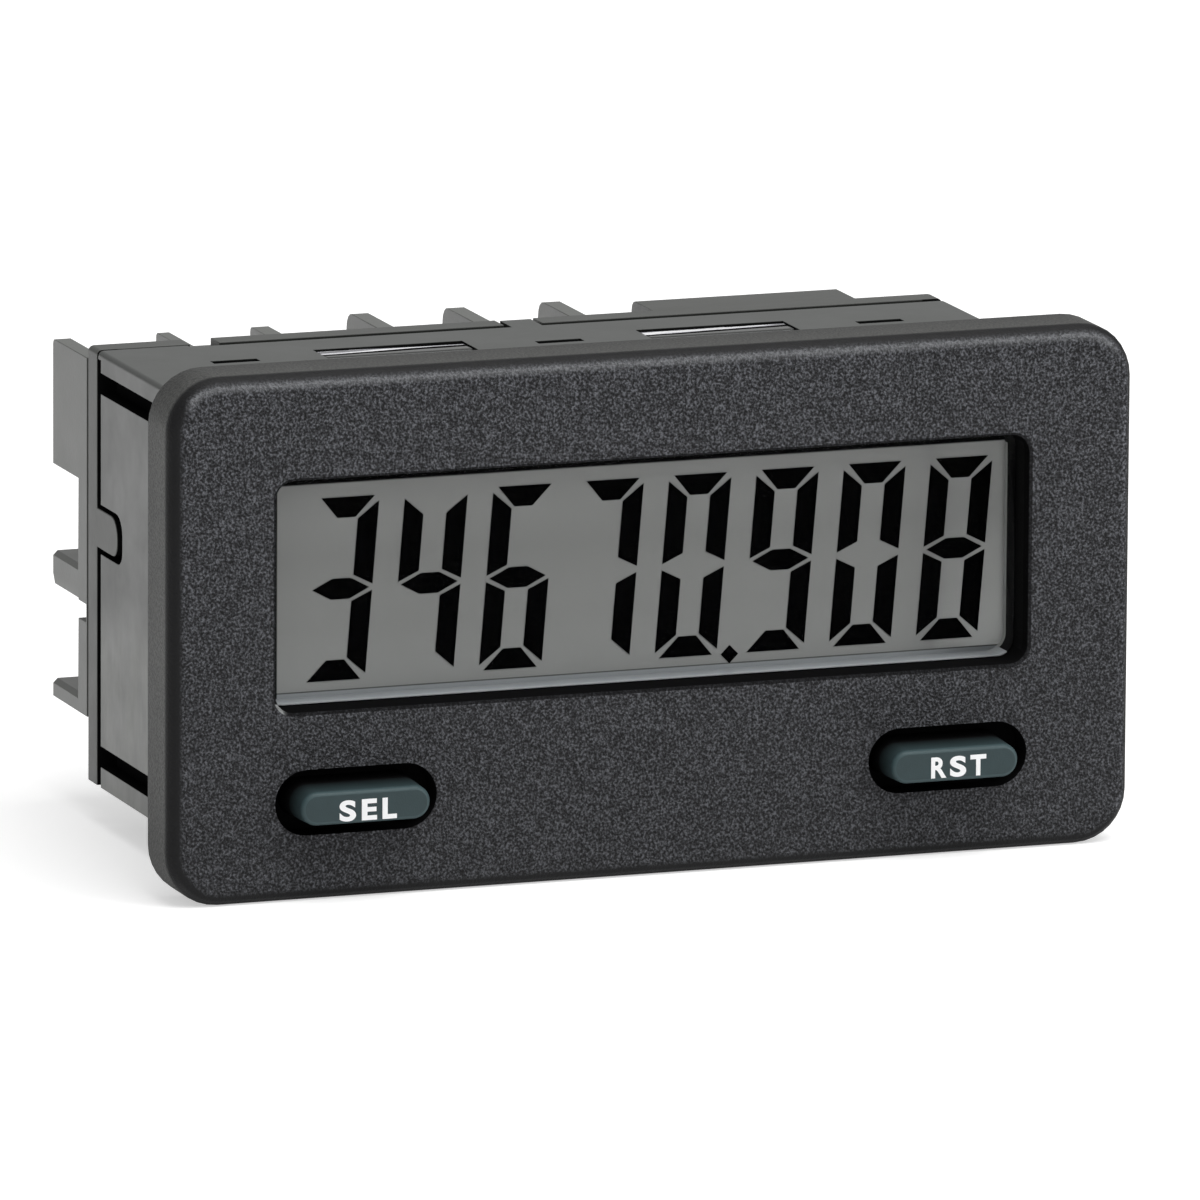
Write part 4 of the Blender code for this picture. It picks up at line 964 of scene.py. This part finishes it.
def creased_film(name, centre_x):
    """Film with painted reflections in white and grey between two creases of painted shade, lying flat in
    front of them.
    """
    film = Finish(name, Roughness=0.2)
    x, y = film.axes()[:2]
    u = (x - centre_x) / half_film
    wave = film.noise(1.6 * mm, 2.0, 0.5, (0.35, 1, 1)) - 0.5
    t = (y - slot_front) / (2 * half_slot) + wave * 0.14
    fold = film.between(u, -1.0, 1.0, 0.36, 0.56)
    fold_width = film.between(u, -1.0, 1.0, 0.07, 0.11)
    far_line = 0.79 + 0.24 * film.between(abs(u + 0.2), 0.15, 0.4, 1.0, 0.0)
    streak = film.noise(0.8 * mm, 2.0, 0.5, (0.08, 1, 1))
    # Painted reflections: white and grey streaks on the creased back half
    painted_glare = film.ramp(streak + film.between(abs(u + 0.25), 0.0, 1.2, 0.18, -0.03)
                      - film.between(t, 0.78, 0.6, 0.0, 0.04),
                      (0.36, (0.02, 0.02, 0.022)), (0.45, (0.08, 0.08, 0.09)),
                      (0.54, (0.16, 0.16, 0.18)), (0.59, (0.55, 0.55, 0.6)), (0.65, (0.95, 0.95, 0.97)))
    film.set(Base_Color=film.mix(t < fold, painted_glare, (0.024, 0.026, 0.024)))
    # Painted shade: black along the crease and the far edge
    film.blacken((abs(t - fold) < fold_width) + (t > far_line))
    return film.material


def film_bulge(name, centre_x, seed):
    """A thin arched sheet in a slot, flat towards the bezel and creased behind."""
    columns, rows = 32, 16
    end_steepness, side_steepness = 400, 14
    form = bmesh.new()
    bmesh.ops.create_grid(form, x_segments=columns, y_segments=rows, size=1.0)
    for vertex in form.verts:
        u, v = (math.sin(value * math.pi / 2) for value in vertex.co.xy)
        arch = (1 - abs(u) ** end_steepness) * (1 - abs(v) ** side_steepness)
        crease = crease_height * math.sin(seed + 2.2 * u + 5.0 * v) * arch * max(v, 0)
        vertex.co = (centre_x + half_film * u, slot_middle + half_slot * v,
                     film_floor + (film_top - film_floor) * arch + crease)
    for face in form.faces:
        face.smooth = True
    bulge = show(name, finished_mesh(form, name, creased_film(name + "_finish", centre_x)))
    wall = bulge.modifiers.new("film", "SOLIDIFY")
    wall.thickness = film_thickness
    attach(bulge, "counter")
    print(name, "bulges by %.2f mm" % ((film_top - film_floor) / mm))


film_bulge("left_film_bulge", -12.4 * mm, 0.4)
film_bulge("right_film_bulge", 13.0 * mm, 2.1)

# %% [markdown]
# ## Terminals
# Screws, washers and contacts are nickel plated steel, the clamps are brass under a thin bright plating.
# Fine scratches run round a turned head and along a rolled strip, so the noise is stretched one way.

# %% Finishes of the metals
def plated(name, dark, light, roughness, stretch):
    """Plated metal with fine drawn lines and a few dull spots."""
    metal = Finish(name, Metallic=1.0)
    lines = metal.noise(0.12 * mm, 2.0, 0.5, stretch)
    spots = metal.noise(1.5 * mm, 3.0)
    tone = metal.ramp(spots, (0.3, 0.0), (0.75, 1.0))
    metal.set(Base_Color=metal.mix(tone, light, dark), Roughness=roughness + 0.12 * lines + 0.1 * tone)
    metal.bump(lines, 0.008 * mm)
    return metal.material


terminal_numbers = range(1, 7)
dress(plated("plated_screw", (0.50, 0.49, 0.47), (0.72, 0.71, 0.69), 0.2, (1, 0.2, 1)),
      *["terminal_screw_%d" % n for n in terminal_numbers])
dress(plated("plated_washer", (0.48, 0.47, 0.45), (0.70, 0.69, 0.67), 0.25, (0.1, 1, 1)),
      *["wire_washer_%d" % n for n in terminal_numbers], "positive_contact", "negative_contact")
dress(plated("plated_clamp", (0.55, 0.47, 0.30), (0.76, 0.70, 0.54), 0.25, (1, 1, 0.1)),
      *["terminal_clamp_%d" % n for n in terminal_numbers])
dress(plated("crystal_can", (0.52, 0.52, 0.52), (0.72, 0.72, 0.72), 0.22, (0.1, 1, 1)), "timing_crystal")

# %% [markdown]
# A screw without its thread looks like a rivet from the side. CAD keeps the shanks plain, because a thread
# has far too many faces for a solid, so the threads are grown here: a spiral curve with a thin
# triangular profile, placed at each screw by Geometry Nodes.

# %% Threads on the terminal screws
plain_tail = 0.6 * mm


def screw_axes():
    """A loose point at the tail end of each screw's shank."""
    mesh = bpy.data.meshes.new("screw_threads")
    tails = []
    for number in terminal_numbers:
        low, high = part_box("terminal_screw_%d" % number)
        tails.append(((low.x + high.x) / 2, low.y + plain_tail, (low.z + high.z) / 2))
    mesh.from_pydata(tails, [], [])
    return mesh


def thread_tree(sizes):
    """Geometry Nodes that sweep a thread's ridge along a spiral at every point."""
    tree, given, size = geometry_tree("screw_thread", sizes)
    spiral = tree.node("GeometryNodeCurveSpiral", {}, {
        "Resolution": 20, "Rotations": size["Length"] / size["Pitch"], "Start Radius": size["Radius"],
        "End Radius": size["Radius"], "Height": size["Length"]})
    ridge = tree.node("GeometryNodeCurvePrimitiveCircle", {}, {"Resolution": 3, "Radius": size["Ridge"]})
    swept = tree.node("GeometryNodeCurveToMesh", {}, {"Curve": spiral, "Profile Curve": ridge,
                                                      "Fill Caps": True})
    laid = tree.node("ShaderNodeCombineXYZ", {}, {"X": -math.pi / 2})
    stood = tree.node("GeometryNodeInstanceOnPoints", {}, {"Points": given, "Instance": swept,
                                                          "Rotation": laid})
    real = tree.node("GeometryNodeRealizeInstances", {}, {"Geometry": stood})
    return paint_and_output(tree, given, real)


thread_sizes = {"Length": 4.6 * mm, "Pitch": 0.6 * mm, "Radius": 1.3 * mm, "Ridge": 0.16 * mm}
screw_finish = bpy.data.materials["plated_screw"]
threads = grow("screw_threads", screw_axes(), thread_tree(list(thread_sizes)), thread_sizes, screw_finish)
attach(threads, "counter")

# %% [markdown]
# ## Every node has its finish
# A node that was forgotten would keep the plain colour it came with, so the list is checked.

# %% Check the finishes
bare = sorted(set(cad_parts) - dressed)
print("nodes without a finish:", bare or "none")

# %% [markdown]
# ## Studio
# The part stands on a plain pale floor. The photograph's white comes from Is Camera Ray on the floor, which
# adds nothing to the light on the part. Black plastic shows what it mirrors more than its own colour, so
# mirror rays see a studio of their own: bright beyond the part and on the floor behind it, and dim
# behind the camera.

# %% Floor and backdrop
def studio_floor():
    """A wide pale sheet under the part."""
    floor = Finish("pale_floor", Roughness=0.9, Specular_IOR_Level=0.0)
    cloud = floor.noise(0.2, 2.0)
    floor.set(Base_Color=floor.mix(cloud, (0.78, 0.78, 0.78), (0.82, 0.82, 0.82)))
    seen = floor.node("ShaderNodeLightPath", output="Is Camera Ray")
    y = floor.axes()[1]
    mirrored = floor.between(y, -35 * mm, 30 * mm, 0.0, 0.58)
    glow = seen * 0.5 + seen.other("Is Glossy Ray") * mirrored
    grey = floor.node("ShaderNodeCombineColor", {}, {"Red": glow, "Green": glow, "Blue": glow})
    floor.set(Emission_Color=grey, Emission_Strength=1.0)
    form = bmesh.new()
    bmesh.ops.create_grid(form, x_segments=1, y_segments=1, size=6.0)
    return show("studio_floor", finished_mesh(form, "studio_floor", floor.material))


studio_floor()
print("floor laid at z = 0")

# %% World and lamps
def studio_world():
    """White to the camera, a soft studio to mirror rays, a nearly even light for everything else."""
    world = bpy.data.worlds.new("studio")
    world.use_nodes = True
    world.node_tree.nodes.clear()
    tree = Tree(world.node_tree)
    direction = tree.node("ShaderNodeTexCoord", output="Generated")
    x = tree.node("ShaderNodeSeparateXYZ", {}, {"Vector": direction})
    y, z = x.other("Y"), x.other("Z")
    path = tree.node("ShaderNodeLightPath")
    mirrored = 0.36 + 0.2 * y + 0.1 * x + 0.1 * z
    even = 0.36 + 0.14 * x + 0.1 * z
    seen = path.maths("MAXIMUM", path.other("Is Camera Ray"), path.other("Is Transmission Ray"))
    glossy = path.other("Is Glossy Ray")
    strength = seen + (1.0 - seen) * (glossy * mirrored + (1.0 - glossy) * even)
    light = tree.node("ShaderNodeBackground", {}, {"Color": (1, 1, 1), "Strength": strength})
    tree.node("ShaderNodeOutputWorld", {}, {"Surface": light})
    return world


def soft_lamp(name, place, size, watts):
    """A square softbox that faces the part."""
    data = bpy.data.lights.new(name, "AREA")
    data.shape = "SQUARE"
    data.size = size
    data.energy = watts
    lamp = show(name, data)
    lamp.location = place
    lamp.rotation_euler = (part_middle - Vector(place)).to_track_quat("-Z", "Y").to_euler()
    print("%s: %.1f W" % (name, watts))


bpy.context.scene.world = studio_world()
part_middle = Vector((0, 0, 0.02))
soft_lamp("overhead_softbox", (0.1, -0.25, 0.8), 0.7, 5.0)
soft_lamp("right_softbox", (0.75, -0.75, 0.45), 0.45, 3.0)
bpy.context.scene.view_settings.view_transform = "Standard"
